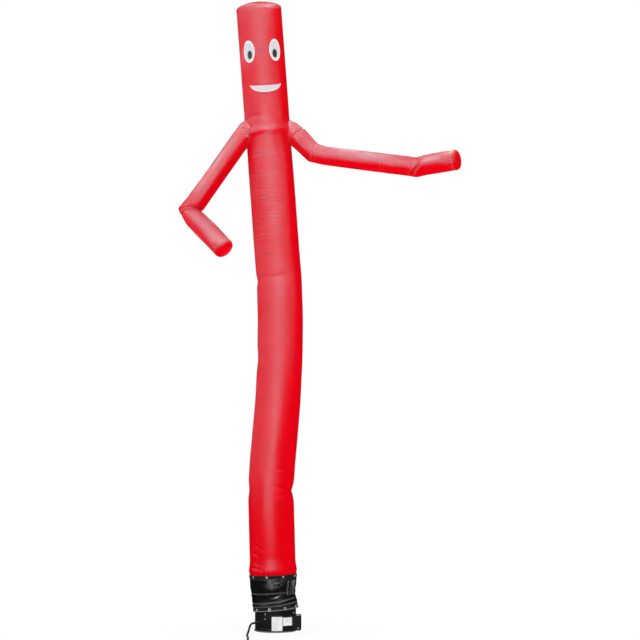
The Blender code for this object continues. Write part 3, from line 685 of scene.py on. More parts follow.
def smooth_route(points, spacing):
    """Points at an even spacing along a smooth curve through a route's own points."""
    route = [Vector(point) for point in points]
    ends = [route[0] * 2 - route[1]] + route + [route[-1] * 2 - route[-2]]
    fine = []
    for before, start, stop, after in zip(ends, ends[1:], ends[2:], ends[3:]):
        for step in range(24):
            t = step / 24
            fine.append(0.5 * (2 * start + (stop - before) * t
                               + (2 * before - 5 * start + 4 * stop - after) * t * t
                               + (3 * start - before - 3 * stop + after) * t ** 3))
    fine.append(route[-1])
    kept = [fine[0]]
    for point in fine[1:]:
        if (point - kept[-1]).length >= spacing:
            kept.append(point)
    if (route[-1] - kept[-1]).length < spacing / 2:
        kept.pop()
    return kept + [route[-1]]


# --- folds -----------------------------------------------------------------------------------

# A fold in cloth, run along a path of (across, up) places: depth is how far it sinks, or stands
# where it is less than 0, and width is how far each side slopes.
Fold = namedtuple("Fold", "depth width path")


def fold_metres(folds, radius):
    """The same folds with their azimuths as metres round a sleeve."""
    return [Fold(fold.depth, fold.width,
                 [(math.radians(across) * radius, up) for across, up in fold.path])
            for fold in folds]


def nearest(path, across, up):
    """How far a place is from a path, and the share of the path's length at the nearest spot."""
    best, share = None, 0.0
    for k, ((x0, y0), (x1, y1)) in enumerate(zip(path, path[1:])):
        run_x, run_y = x1 - x0, y1 - y0
        t = ((across - x0) * run_x + (up - y0) * run_y) / (run_x ** 2 + run_y ** 2)
        t = min(1.0, max(0.0, t))
        away = math.hypot(across - x0 - run_x * t, up - y0 - run_y * t)
        if best is None or away < best:
            best, share = away, (k + t) / (len(path) - 1)
    return best, share


def fold_rise(folds, across, up):
    """How far out the cloth stands at a place: troughs, and soft shoulders beside them."""
    rise = 0.0
    for fold in folds:
        reach = 4.0 * fold.width
        heights = [place[1] for place in fold.path]
        if not min(heights) - reach < up < max(heights) + reach:
            continue
        away, share = nearest(fold.path, across, up)
        if away < reach:
            t = away / fold.width
            fade = 0.35 + 0.65 * math.sin(math.pi * share)
            rise -= fold.depth * fade * (math.exp(-t * t) - 0.3 * math.exp(-(t - 2.0) ** 2))
    return rise


def between(rows, at):
    """A table's values at a place, on straight lines between its rows."""
    for low, high in zip(rows, rows[1:]):
        if at <= high[0]:
            break
    share = (at - low[0]) / (high[0] - low[0])
    return [a + (b - a) * share for a, b in zip(low, high)]


def curved_between(rows, at):
    """A table's values at a place, on smooth curves through its rows."""
    k = 0
    while k < len(rows) - 2 and at > rows[k + 1][0]:
        k += 1
    before, low = rows[max(k - 1, 0)], rows[k]
    high, after = rows[k + 1], rows[min(k + 2, len(rows) - 1)]
    span = high[0] - low[0]
    t = (at - low[0]) / span
    values = []
    for b, l, h, a in zip(before, low, high, after):
        slope_low = (h - b) / (high[0] - before[0]) * span
        slope_high = (a - l) / (after[0] - low[0]) * span
        values.append(l * (1 + 2 * t) * (1 - t) ** 2 + slope_low * t * (1 - t) ** 2
                      + h * t * t * (3 - 2 * t) + slope_high * t * t * (t - 1))
    return values


# --- the sleeve ------------------------------------------------------------------------------

BODY_FOLDS = fold_metres([
    # the valley that runs up from the bent arm over the chest, and the shallow one under it
    Fold(0.0050, 0.0095, [(-98, 2.568), (-76, 2.578), (-58, 2.590), (-43, 2.597), (-26, 2.600),
                          (-4, 2.601)]),
    Fold(0.0018, 0.0060, [(-82, 2.544), (-58, 2.549), (-36, 2.552)]),
    # kinks, and the shorter folds round them
    Fold(0.0036, 0.006, [(-88, 1.772), (-49, 1.778), (-27, 1.780), (-9, 1.778), (22, 1.789)]),
    Fold(0.0014, 0.004, [(-60, 1.794), (-38, 1.797), (-20, 1.793)]),
    Fold(0.0018, 0.005, [(-80, 1.410), (-37, 1.418), (-9, 1.423)]),
    Fold(0.0014, 0.005, [(-84, 1.302), (-55, 1.306), (-35, 1.304)]),
    Fold(0.0052, 0.008, [(95, 0.700), (62, 0.707), (41, 0.711), (19, 0.720), (6, 0.727)]),
    Fold(0.0022, 0.006, [(4, 0.808), (20, 0.806), (36, 0.808)]),
    Fold(0.0020, 0.006, [(12, 0.764), (30, 0.759), (50, 0.759)]),
    Fold(0.0020, 0.006, [(8, 0.680), (26, 0.674), (45, 0.675)]),
    Fold(0.0016, 0.006, [(8, 0.628), (26, 0.633), (42, 0.630)]),
    # lower left
    Fold(0.0018, 0.006, [(-60, 0.440), (-38, 0.424), (-18, 0.404)]),
    Fold(0.0018, 0.006, [(-66, 0.398), (-50, 0.390), (-34, 0.378)]),
    Fold(0.0022, 0.006, [(-70, 0.326), (-48, 0.318), (-26, 0.311)]),
    # the head's faint crossways fold, between the eyes
    Fold(0.0016, 0.010, [(-16, 2.925), (0, 2.928), (18, 2.926)]),
    Fold(-0.0010, 0.010, [(-16, 2.950), (0, 2.953), (18, 2.950)]),
    # short crossways wrinkles down the front left
    Fold(0.0012, 0.004, [(-22, 2.402), (-6, 2.400), (6, 2.403)]),
    Fold(0.0014, 0.004, [(-50, 2.386), (-30, 2.384), (4, 2.386)]),
    Fold(0.0010, 0.004, [(-44, 2.354), (-30, 2.352), (-18, 2.354)]),
    Fold(0.0012, 0.004, [(-50, 2.308), (-30, 2.303), (-10, 2.300)]),
    Fold(0.0012, 0.004, [(-52, 2.268), (-28, 2.262), (-2, 2.257)]),
    Fold(0.0012, 0.004, [(-48, 2.232), (-26, 2.228), (-8, 2.229)]),
    Fold(0.0014, 0.004, [(-48, 2.196), (-26, 2.192), (-5, 2.188)]),
    Fold(0.0012, 0.004, [(-42, 2.172), (-20, 2.168), (0, 2.164)]),
    Fold(0.0012, 0.004, [(-46, 2.118), (-24, 2.114), (-6, 2.116)]),
    Fold(0.0014, 0.004, [(-46, 2.072), (-24, 2.068), (-4, 2.065)]),
    Fold(0.0012, 0.004, [(-46, 2.018), (-24, 2.014), (-6, 2.012)]),
    Fold(0.0014, 0.004, [(-48, 1.972), (-24, 1.966), (-4, 1.962)]),
    Fold(0.0012, 0.004, [(-40, 1.900), (-20, 1.896), (0, 1.898)]),
    Fold(0.0010, 0.004, [(-52, 1.640), (-34, 1.636), (-18, 1.638)]),
    Fold(0.0010, 0.004, [(-56, 1.560), (-36, 1.556), (-20, 1.560)]),
    Fold(0.0010, 0.004, [(-60, 1.205), (-40, 1.200), (-24, 1.204)]),
    Fold(0.0010, 0.004, [(-62, 0.960), (-44, 0.956), (-26, 0.960)]),
    Fold(0.0010, 0.004, [(-60, 0.860), (-44, 0.852), (-28, 0.856)]),
    # the back
    Fold(0.0030, 0.010, [(140, 2.500), (165, 2.508), (178, 2.506)]),
    Fold(0.0030, 0.010, [(-178, 2.506), (-160, 2.500), (-130, 2.508)]),
    Fold(0.0024, 0.007, [(120, 0.724), (145, 0.730), (165, 0.727)]),
    Fold(0.0016, 0.005, [(110, 1.800), (135, 1.806), (160, 1.802)]),
], TUBE_RADIUS)

# Stretches of the sleeve that are folded finely
FOLDED_STRETCHES = [(0.30, 0.45), (0.60, 0.82), (1.29, 1.43), (1.755, 1.80), (1.95, 2.41),
                    (2.47, 2.63)]

Root = namedtuple("Root", "azimuth height radius")
ARM_ROOTS = [Root(-80.0, 2.520, 0.060), Root(86.0, 2.512, 0.060)]


# The chest's bulge overhangs the cloth under it: along a run of azimuths, the height of its edge,
# how far its lip stands out, how far the cloth under it stands back, and over what height
Ledge = namedtuple("Ledge", "azimuth height lip depth turn")
CHEST_LEDGE = [
    Ledge(-112, 2.518, 0.0000, 0.0000, 0.022), Ledge(-86, 2.516, 0.0050, 0.0030, 0.023),
    Ledge(-60, 2.517, 0.0078, 0.0095, 0.023), Ledge(-40, 2.517, 0.0066, 0.0095, 0.022),
    Ledge(-24, 2.521, 0.0044, 0.0075, 0.020), Ledge(-9, 2.526, 0.0028, 0.0042, 0.022),
    Ledge(6, 2.529, 0.0020, 0.0042, 0.028), Ledge(18, 2.533, 0.0022, 0.0075, 0.036),
    Ledge(32, 2.534, 0.0034, 0.0125, 0.040), Ledge(55, 2.530, 0.0056, 0.0125, 0.040),
    Ledge(80, 2.520, 0.0030, 0.0045, 0.036), Ledge(112, 2.512, 0.0000, 0.0000, 0.030),
]


def ledge_rise(azimuth, height):
    """How far the bulge moves the cloth: out to its lip, back under it, then slowly out again."""
    if not CHEST_LEDGE[0].azimuth < azimuth < CHEST_LEDGE[-1].azimuth:
        return 0.0
    _, edge, lip, depth, turn = between(CHEST_LEDGE, azimuth)
    up = height - edge
    if up >= 0:
        return lip * bell(up, 0.0, 0.021)
    share = min(1.0, -up / turn)
    share = 0.5 * share + 0.5 * share * share * (3 - 2 * share)
    return (lip + depth) * (1 - share) - depth * math.exp(-max(0.0, -up - turn) / 0.09)


def axis_at(height):
    """The sleeve's axis, with its corners eased over a hand's width."""
    ease = 0.024
    spots = [between(AXIS, height + step) for step in (-ease, 0.0, ease)]
    return Vector((sum(spot[1] for spot in spots) / 3, sum(spot[2] for spot in spots) / 3,
                   height))


def axis_tangent(height):
    """The way that the sleeve runs at a height."""
    low, high = max(AXIS[0].height, height - 0.03), min(AXIS[-1].height, height + 0.03)
    return (axis_at(high) - axis_at(low)).normalized()


def section_axes(tangent):
    """A section's front and right-hand directions, square to the tangent."""
    front = Vector((0.0, -1.0, 0.0))
    front = (front - tangent * front.dot(tangent)).normalized()
    return front, tangent.cross(front)


def root_puckers(azimuth, height):
    """Small gathers that run out from the seam of each arm."""
    rise = 0.0
    for root in ARM_ROOTS:
        across = math.radians(azimuth - root.azimuth) * TUBE_RADIUS
        up = height - root.height
        away = math.hypot(across, up) - root.radius
        if -0.02 < away < 0.07:
            turn = math.atan2(up, across)
            rise += 0.0009 * math.sin(26 * turn + 2.0 * math.sin(5 * turn)) * bell(
                away, 0.0, 0.018)
    return rise


def sleeve_reach(azimuth, height):
    """The sleeve's radius at a place, with its dents, folds, puckers and slight unevenness."""
    reach = TUBE_RADIUS - 0.0004
    for dent in DENTS:
        turn = (azimuth - dent.azimuth + 180.0) % 360.0 - 180.0
        reach -= dent.depth * bell(height, dent.height, dent.reach) * bell(turn, 0.0, dent.spread)
    across = math.radians(azimuth) * TUBE_RADIUS
    reach += fold_rise(BODY_FOLDS, across, height) + root_puckers(azimuth, height)
    reach += ledge_rise(azimuth, height)
    spoke = outward(azimuth)
    slow = noise.noise(Vector((spoke.x * 1.3, spoke.y * 1.3, height * 2.6)))
    quick = noise.noise(Vector((spoke.x * 2.2, spoke.y * 2.2, height * 42.0)))
    reach += 0.0010 * slow + 0.00035 * quick
    from_hem = height - HEM_HEIGHT
    if from_hem < 0.09:
        gather = 0.0012 * math.sin(34 * math.radians(azimuth) + 3 * slow)
        reach += gather * bell(from_hem, 0.03, 0.022)
        reach += 0.0052 * clamp((height - 0.2845) / 0.008) * bell(height, 0.300, 0.032)
    return reach


def sleeve_point(azimuth, height, lift=0.0):
    """A point on the sleeve, or lifted off it."""
    front, right = section_axes(axis_tangent(height))
    angle = math.radians(azimuth)
    return axis_at(height) + (front * math.cos(angle) + right * math.sin(angle)) * (
        sleeve_reach(azimuth, height) + lift)


def sleeve_distance(point):
    """How far a point is from the sleeve's axis, and the height on the axis beside it."""
    height = point.z
    for _ in range(3):
        tangent = axis_tangent(height)
        height += (point - axis_at(height)).dot(tangent)
    return (point - axis_at(height)).length, height


def clear_of_sleeve(point):
    """Whether a point lies outside the sleeve's cloth."""
    away, height = sleeve_distance(point)
    front, right = section_axes(axis_tangent(height))
    spoke = point - axis_at(height)
    azimuth = math.degrees(math.atan2(spoke.dot(right), spoke.dot(front)))
    return away > sleeve_reach(azimuth, height) + GAP


def make_sleeve(nylon, red_thread):
    """The body, from its hem in the skirt up to the crown's seam."""
    length = CROWN_HEIGHT - HEM_HEIGHT
    wrinkles = [fold for fold in BODY_FOLDS if 0 < fold.depth <= 0.0016]

    # marks for the painted shade in the fine wrinkles
    def crease_shade(across, along):
        turn = math.radians(azimuth_at(across)) * TUBE_RADIUS
        rise = fold_rise(wrinkles, turn, HEM_HEIGHT + along * length)
        return min(0.26, max(0.0, -rise - 0.0002) / 0.0036)

    # where the fine wrinkles lie, with their bumps and painted highlights
    def ribbed(across, along):
        height = HEM_HEIGHT + along * length
        stretch = clamp(min((height - 1.82) / 0.15, (2.45 - height) / 0.05))
        return stretch * bell(azimuth_at(across), -18, 40, 4)

    def place(across, along):
        return sleeve_point(azimuth_at(across), HEM_HEIGHT + along * length)

    girth = math.tau * TUBE_RADIUS
    columns = spread_lines(-180.0, 180.0, [(-96.0, 98.0)], 3.0, 8.5)
    rows = spread_lines(HEM_HEIGHT, CROWN_HEIGHT, FOLDED_STRETCHES, 0.0031, 0.012)
    shape = cloth_grid(columns, rows, (girth, length), place, True,
                       {"ribbed": ribbed, "crease_shade": crease_shade})
    sleeve = add_piece("sleeve", shape, nylon, ["tube_body"], NYLON)

    spots = []
    height = HEM_HEIGHT + 0.04
    while height < CROWN_HEIGHT - 0.01:
        for azimuth in (178.6, -178.6):
            spot = sleeve_point(azimuth, height, 0.0003)
            up = sleeve_point(azimuth, height + 0.004, 0.0003) - spot
            spots.append((spot, up, spot - axis_at(height)))
        height += 0.0105
    sew("back_seam_stitches", spots, red_thread, 0.0075, 0.0008)


def dome_place(seam, facing_way, rise, gathers, depth, fullness):
    """A puffed end over a seam: seam(azimuth) gives the seam, facing_way the way it domes.

    fullness is 1 for a rounded top and less for one that is flat with a quick edge.
    """
    ring = [seam(30.0 * k) for k in range(12)]
    middle = sum(ring, Vector()) / len(ring)

    def place(across, along):
        azimuth = azimuth_at(across)
        bend = along * math.pi / 2
        drawn = math.cos(bend) ** fullness
        puckers = depth * math.sin(gathers * math.radians(azimuth)
                                   + 1.7 * math.sin(3 * math.radians(azimuth)))
        puckers *= bell(along, 0.16, 0.12)
        edge = seam(azimuth)
        return (middle + (edge - middle) * drawn
                + facing_way * (GAP + rise * math.sin(bend) + puckers))
    return place, middle


def make_crown(nylon, red_thread):
    """The domed top, gathered a little into its seam."""
    tangent = axis_tangent(CROWN_HEIGHT)
    place, middle = dome_place(lambda azimuth: sleeve_point(azimuth, CROWN_HEIGHT),
                               tangent, CROWN_RISE, 23, 0.0006, 1.3)
    shape = cloth_grid(96, 26, (math.tau * TUBE_RADIUS, TUBE_RADIUS), place, closed=True)
    crown = add_piece("crown", shape, nylon, ["crown_cap"], NYLON)
    spots = []
    for k in range(110):
        azimuth = 360.0 * k / 110 - 180.0
        spot = sleeve_point(azimuth, CROWN_HEIGHT - 0.004, 0.0003)
        along = sleeve_point(azimuth + 1.0, CROWN_HEIGHT - 0.004, 0.0003) - spot
        spots.append((spot, along, spot - middle))
    sew("crown_stitches", spots, red_thread)


# --- the arms --------------------------------------------------------------------------------

# Folds on an arm lie at (azimuth round the arm, metres along it from the middle of the chest)
BENT_ARM_FOLDS = [
    # puckers at the seam
    Fold(0.0060, 0.0036, [(50, 0.0820), (40, 0.0800), (26, 0.0797)]),
    Fold(0.0062, 0.0036, [(30, 0.1056), (16, 0.0980), (2, 0.0913)]),
    Fold(0.0060, 0.0036, [(6, 0.1068), (-4, 0.0990), (-14, 0.0912)]),
    Fold(0.0060, 0.0036, [(-6, 0.1072), (-12, 0.1005), (-18, 0.0940)]),
    Fold(0.0060, 0.0036, [(-10, 0.1141), (-18, 0.1085), (-26, 0.1033)]),
    # the elbow
    Fold(0.0034, 0.0045, [(110, 0.596), (71, 0.601), (31, 0.592), (-4, 0.574), (-20, 0.573)]),
    Fold(0.0030, 0.0045, [(110, 0.612), (60, 0.620), (26, 0.614), (-4, 0.607), (-19, 0.585)]),
    Fold(0.0060, 0.0060, [(-15, 0.572), (-35, 0.577), (-60, 0.590), (-85, 0.604), (-120, 0.604)]),
    Fold(0.0014, 0.0040, [(-50, 0.640), (-30, 0.652), (-10, 0.668)]),
    # short wrinkles down the upper arm and the forearm
    Fold(0.0012, 0.0035, [(20, 0.345), (45, 0.352), (75, 0.348)]),
    Fold(0.0012, 0.0035, [(30, 0.420), (55, 0.428), (80, 0.424)]),
    Fold(0.0012, 0.0035, [(15, 0.490), (40, 0.494), (70, 0.489)]),
    Fold(0.0010, 0.0035, [(40, 0.528), (60, 0.534), (85, 0.530)]),
    Fold(0.0012, 0.0035, [(60, 0.700), (85, 0.712), (110, 0.710)]),
    Fold(0.0012, 0.0035, [(55, 0.745), (80, 0.752), (105, 0.748)]),
    Fold(0.0012, 0.0035, [(50, 0.800), (75, 0.806), (100, 0.802)]),
]
REACHING_ARM_FOLDS = [
    # the deep crease near the chest
    Fold(0.0062, 0.0050, [(-100, 0.128), (-79, 0.126), (-50, 0.127), (-19, 0.125), (14, 0.116)]),
    # the star of small folds beside it
    Fold(0.0058, 0.0036, [(6, 0.1251), (-6, 0.1205), (-18, 0.1167)]),
    Fold(0.0058, 0.0036, [(6, 0.1265), (-4, 0.1330), (-14, 0.1409)]),
    Fold(0.0052, 0.0036, [(8, 0.1300), (4, 0.1450), (-2, 0.1608)]),
    Fold(0.0046, 0.0036, [(14, 0.1360), (15, 0.1490), (14, 0.1605)]),
    # the first bend with a lesser fold behind it, and the bend before the hand
    Fold(0.0044, 0.0045, [(-80, 0.244), (-54, 0.241), (-6, 0.240), (22, 0.257), (50, 0.262)]),
    Fold(0.0016, 0.0040, [(-90, 0.262), (-60, 0.266), (-30, 0.270)]),
    Fold(0.0045, 0.0055, [(-80, 0.818), (-59, 0.815), (1, 0.808), (31, 0.778), (60, 0.760)]),
    # the middle's gather and its wrinkles
    Fold(0.0016, 0.0040, [(-74, 0.590), (-30, 0.598), (11, 0.612), (81, 0.616), (120, 0.612)]),
    Fold(0.0012, 0.0035, [(-60, 0.604), (-34, 0.612), (-8, 0.622)]),
    Fold(0.0012, 0.0035, [(-40, 0.400), (-10, 0.404), (30, 0.400)]),
    Fold(0.0012, 0.0035, [(-60, 0.470), (-40, 0.474), (-10, 0.470)]),
    Fold(0.0012, 0.0035, [(-60, 0.690), (-36, 0.694), (-10, 0.690)]),
    # drawn in beside the hand
    Fold(0.0016, 0.0035, [(-36, 0.930), (-22, 0.945), (-14, 0.962)]),
    Fold(0.0016, 0.0035, [(-12, 0.936), (0, 0.950), (6, 0.966)]),
    Fold(0.0016, 0.0035, [(6, 0.940), (18, 0.954), (26, 0.968)]),
]


class Arm:
    """An arm's sleeve: where it runs, how wide it is and where it meets the body."""

    def __init__(self, rows, folds):
        self.rows = rows
        self.spine = [Vector(row[:3]) for row in rows]
        self.stations = [0.0]
        for near, far in zip(self.spine, self.spine[1:]):
            self.stations.append(self.stations[-1] + (far - near).length)
        self.length = self.stations[-1]
        self.folds = fold_metres(folds, ARM_RADIUS)
        self.frames = []
        for k, place in enumerate(self.spine):
            before = self.spine[max(k - 1, 0)]
            after = self.spine[min(k + 1, len(rows) - 1)]
            tangent = ((place - before).normalized() + (after - place).normalized()).normalized()
            self.frames.append(section_axes(tangent))
        self.starts = {}

    def ruled(self, azimuth, station):
        """The plain arm: a point on its wall, and the point on its spine beside it."""
        k = 0
        while k < len(self.stations) - 2 and station > self.stations[k + 1]:
            k += 1
        share = (station - self.stations[k]) / (self.stations[k + 1] - self.stations[k])
        angle = math.radians(azimuth)
        walls = []
        for at in (k, k + 1):
            row, (front, side) = self.rows[at], self.frames[at]
            stretch = row.outside if math.sin(angle) > 0 else row.inside
            walls.append(self.spine[at] + (front * math.cos(angle)
                                           + side * math.sin(angle) * stretch) * row.radius)
        return walls[0].lerp(walls[1], share), self.spine[k].lerp(self.spine[k + 1], share)

    def start(self, azimuth):
        """Where along the arm its wall comes out of the body."""
        key = round(azimuth % 360.0, 4)
        if key not in self.starts:
            low, high = 0.0, 0.5 * self.length
            for _ in range(16):
                middle = (low + high) / 2
                wall, _ = self.ruled(azimuth, middle)
                if clear_of_sleeve(wall):
                    high = middle
                else:
                    low = middle
            self.starts[key] = high
        return self.starts[key]

    @staticmethod
    def gathers(turn, from_root):
        """The root's gathers, from -1 to 1: uneven in length, and dying away along the arm."""
        length = 0.024 + 0.013 * math.sin(7 * turn + 1.0)
        return math.sin(19 * turn + 1.8 * math.sin(3 * turn)) * bell(
            max(0.0, from_root - 0.008), 0.0, length)

    @staticmethod
    def hand_gathers(turn, from_hand):
        """The gathers beside the hand, from -1 to 1."""
        return math.sin(19 * turn + 1.2 * math.sin(4 * turn)) * bell(from_hand, 0.012, 0.010)

    def creases(self, azimuth, station):
        """How deep in a crease a place lies, for painted shade, and how high on a ridge or a seam,
        for painted highlight, each to 1.
        """
        turn = math.radians(azimuth)
        fold = fold_rise(self.folds, turn * ARM_RADIUS, station)
        from_root = station - self.start(azimuth)
        from_hand = self.length - station
        gathers = self.gathers(turn, from_root)
        small = self.hand_gathers(turn, from_hand)
        # painted shade in the folds' troughs, between the gathers and beside the hand
        crease_shade = max(0.0, -fold / 0.0034 - 0.45) + 0.5 * max(0.0, -gathers - 0.25)
        crease_shade += 0.5 * max(0.0, -small)
        # painted highlight on the folds' ridges, the gathers and both seams
        ridge_highlight = max(0.0, fold / 0.0030) + 0.25 * max(0.0, gathers) + 0.3 * max(0.0, small)
        ridge_highlight += bell(from_root, 0.004, 0.0032) + 0.8 * bell(from_hand, 0.003, 0.0026)
        return min(1.0, crease_shade), min(1.0, ridge_highlight)

    def point(self, azimuth, station, lift=0.0):
        """A point on the finished arm, with its folds, its gathered root and its unevenness."""
        ease = 0.005
        wall, spine = Vector(), Vector()
        for step in (-ease, 0.0, ease):
            at = min(self.length, max(0.0, station + step))
            near_wall, near_spine = self.ruled(azimuth, at)
            wall += near_wall / 3
            spine += near_spine / 3
        out = (wall - spine).normalized()
        turn = math.radians(azimuth)
        from_root = station - self.start(azimuth)
        from_hand = self.length - station
        rise = fold_rise(self.folds, turn * ARM_RADIUS, station)
        rise += 0.0009 * self.gathers(turn, from_root) + 0.0016 * bell(from_root, 0.004, 0.0032)
        rise += 0.0010 * bell(from_hand, 0.003, 0.0026)
        rise += 0.0007 * self.hand_gathers(turn, from_hand)
        slow = noise.noise(out * 1.4 + Vector((0.0, 0.0, station * 9.0)))
        quick = noise.noise(out * 2.0 + Vector((station * 55.0, 0.0, 0.0)))
        rise += 0.0007 * slow + 0.0003 * quick
        fade = clamp(from_root / 0.004)
        return wall + out * (rise * fade - 0.0003 + lift)


def make_arm(name, rows, folds, nylon, red_thread):
    """A sleeve arm with its puffed hand and the stitches of both seams."""
    arm = Arm(rows, folds)
    girth = math.tau * ARM_RADIUS
    length = arm.length - arm.start(-90.0 if name == "bent" else 90.0)

    def station_at(azimuth, along):
        start = arm.start(azimuth)
        return start + (arm.length - start) * along

    def place(across, along):
        azimuth = azimuth_at(across)
        return arm.point(azimuth, station_at(azimuth, along))

    def crease(kind):
        def depth(across, along):
            azimuth = azimuth_at(across)
            return arm.creases(azimuth, station_at(azimuth, along))[kind]
        return depth

    shape = cloth_grid(144, 300, (girth, length), place, True,
                       {"crease_shade": crease(0), "ridge_highlight": crease(1)})
    piece = add_piece(name + "_arm", shape, nylon, ["arm_" + name], NYLON)

    along_hand = (arm.spine[-1] - arm.spine[-2]).normalized()
    place_hand, _ = dome_place(lambda azimuth: arm.point(azimuth, arm.length), along_hand,
                               HAND_RISE, 15, 0.0009, 0.42)
    # the hand's mark paints a highlight arc across its upper side
    shape = cloth_grid(64, 22, (girth, 0.055), place_hand, True,
                       {"ridge_highlight": lambda across, along: 0.9 * bell(along, 0.84, 0.05)
                        * max(0.0, math.cos(math.tau * across)) ** 2})
    hand = add_piece(name + "_hand", shape, nylon, ["hand_cap_" + name], NYLON)

    def root_seam(azimuth):
        """Where the root's stitches lie along the arm."""
        return arm.start(azimuth) + 0.0055

    def hand_seam(_):
        """Where the hand's stitches lie, the same all round."""
        return arm.length - 0.0045

    spots = []
    for k in range(72):
        azimuth, beside = 5.0 * k - 180.0, 5.0 * k - 178.0
        for seam in (root_seam, hand_seam):
            spot = arm.point(azimuth, seam(azimuth), 0.0004)
            ahead = arm.point(beside, seam(beside), 0.0004)
            _, spine = arm.ruled(azimuth, seam(azimuth))
            spots.append((spot, ahead - spot, spot - spine))
    sew(name + "_arm_stitches", spots, red_thread, 0.0030, 0.0007)


# --- the face --------------------------------------------------------------------------------

Patch = namedtuple("Patch", "name node azimuth half_width height half_height layer")
PATCHES = [
    Patch("left_eye", "eye_white_left", -34.0, 16.4, 2.9240, 0.0555, 0),
    Patch("right_eye", "eye_white_right", 36.0, 16.2, 2.9240, 0.0555, 0),
    Patch("left_pupil", "pupil_left", -31.2, 6.6, 2.9067, 0.0215, 1),
    Patch("right_pupil", "pupil_right", 34.0, 6.6, 2.9067, 0.0215, 1),
]
PATCH_WALL = 0.0008


def patch_point(patch, x, y, lift=0.0):
    """A point of an oval patch: x and y run from -1 to 1 and lie in the unit circle."""
    base = GAP + 0.0004 + patch.layer * (PATCH_WALL + GAP)
    return sleeve_point(patch.azimuth + x * patch.half_width,
                        patch.height + y * patch.half_height, base + lift)


def on_disc(across, along):
    """Where a place in a square from 0 to 1 lies in the unit circle."""
    a, b = 2 * across - 1, 2 * along - 1
    return a * math.sqrt(1 - b * b / 2), b * math.sqrt(1 - a * a / 2)


def make_oval(patch, finish, thread):
    """An oval patch, puffed a little inside its stitched rim."""
    def rim(across, along):
        return min(1.0, math.hypot(*on_disc(across, along)))

    def place(across, along):
        from_middle = rim(across, along)
        puff = 0.0006 * (1 - from_middle ** 6) - 0.0005 * bell(from_middle, 0.83, 0.035)
        return patch_point(patch, *on_disc(across, along), max(0.0, puff))

    width = 2 * math.radians(patch.half_width) * TUBE_RADIUS
    height = 2 * patch.half_height
    shape = cloth_grid(28, 28, (width, height), place, marks={"rim": rim})
    piece = add_piece(patch.name, shape, finish, [patch.node], PATCH_WALL, 1.0)
    math.pi / 4 * width * height
    count = round(math.pi * (width + height) / 2 / 0.0052)
    spots = []
    for k in range(count):
        turn = math.tau * k / count
        x, y = 0.90 * math.cos(turn), 0.90 * math.sin(turn)
        spot = patch_point(patch, x, y, PATCH_WALL + 0.0002)
        ahead = patch_point(patch, 0.90 * math.cos(turn + 0.05), 0.90 * math.sin(turn + 0.05),
                            PATCH_WALL + 0.0002)
        _, height_there = sleeve_distance(spot)
        spots.append((spot, ahead - spot, spot - axis_at(height_there)))
    sew(patch.name + "_stitches", spots, thread, 0.0034, 0.0006)


MOUTH_AZIMUTH, MOUTH_HALF_WIDTH, MOUTH_HEIGHT = 4.4, 41.8, 2.7577
MOUTH_LOW, MOUTH_HIGH = -0.0425, -0.0105


def mouth_point(x, share, lift=0.0):
    """A point of the smile: x from -1 to 1 between its tips, share from its lower edge up."""
    bulge = math.sqrt(max(1.0 - x * x, 0.0008))
    offset = MOUTH_LOW + (MOUTH_HIGH - MOUTH_LOW) * share
    return sleeve_point(MOUTH_AZIMUTH + x * MOUTH_HALF_WIDTH, MOUTH_HEIGHT + offset * bulge,
                        GAP + 0.0004 + lift)


def make_mouth(finish, thread):
    """The crescent smile, stitched on round its edge."""
    def place(across, along):
        x = math.sin((across - 0.5) * math.pi)
        puff = 0.0006 * (1 - (2 * along - 1) ** 4) * math.sqrt(max(0.0, 1 - x * x))
        return mouth_point(x, along, puff)

    width = 2 * math.radians(MOUTH_HALF_WIDTH) * TUBE_RADIUS
    shape = cloth_grid(64, 12, (width, 0.032), place, marks={
        "rim": lambda across, along: max(abs(2 * along - 1),
                                         abs(math.sin((across - 0.5) * math.pi)) ** 4)})
    piece = add_piece("smile", shape, finish, ["mouth"], PATCH_WALL, 1.0)
    spots = []
    for share in (0.09, 0.91):
        for k in range(-16, 17):
            x = math.sin(k / 17 * math.pi / 2)
            spot = mouth_point(x, share, PATCH_WALL + 0.0003)
            ahead = mouth_point(math.sin((k + 0.5) / 17 * math.pi / 2), share,
                                PATCH_WALL + 0.0003)
            _, height_there = sleeve_distance(spot)
            spots.append((spot, ahead - spot, spot - axis_at(height_there)))
    sew("smile_stitches", spots, thread, 0.0034, 0.0006)


# --- the skirt -------------------------------------------------------------------------------

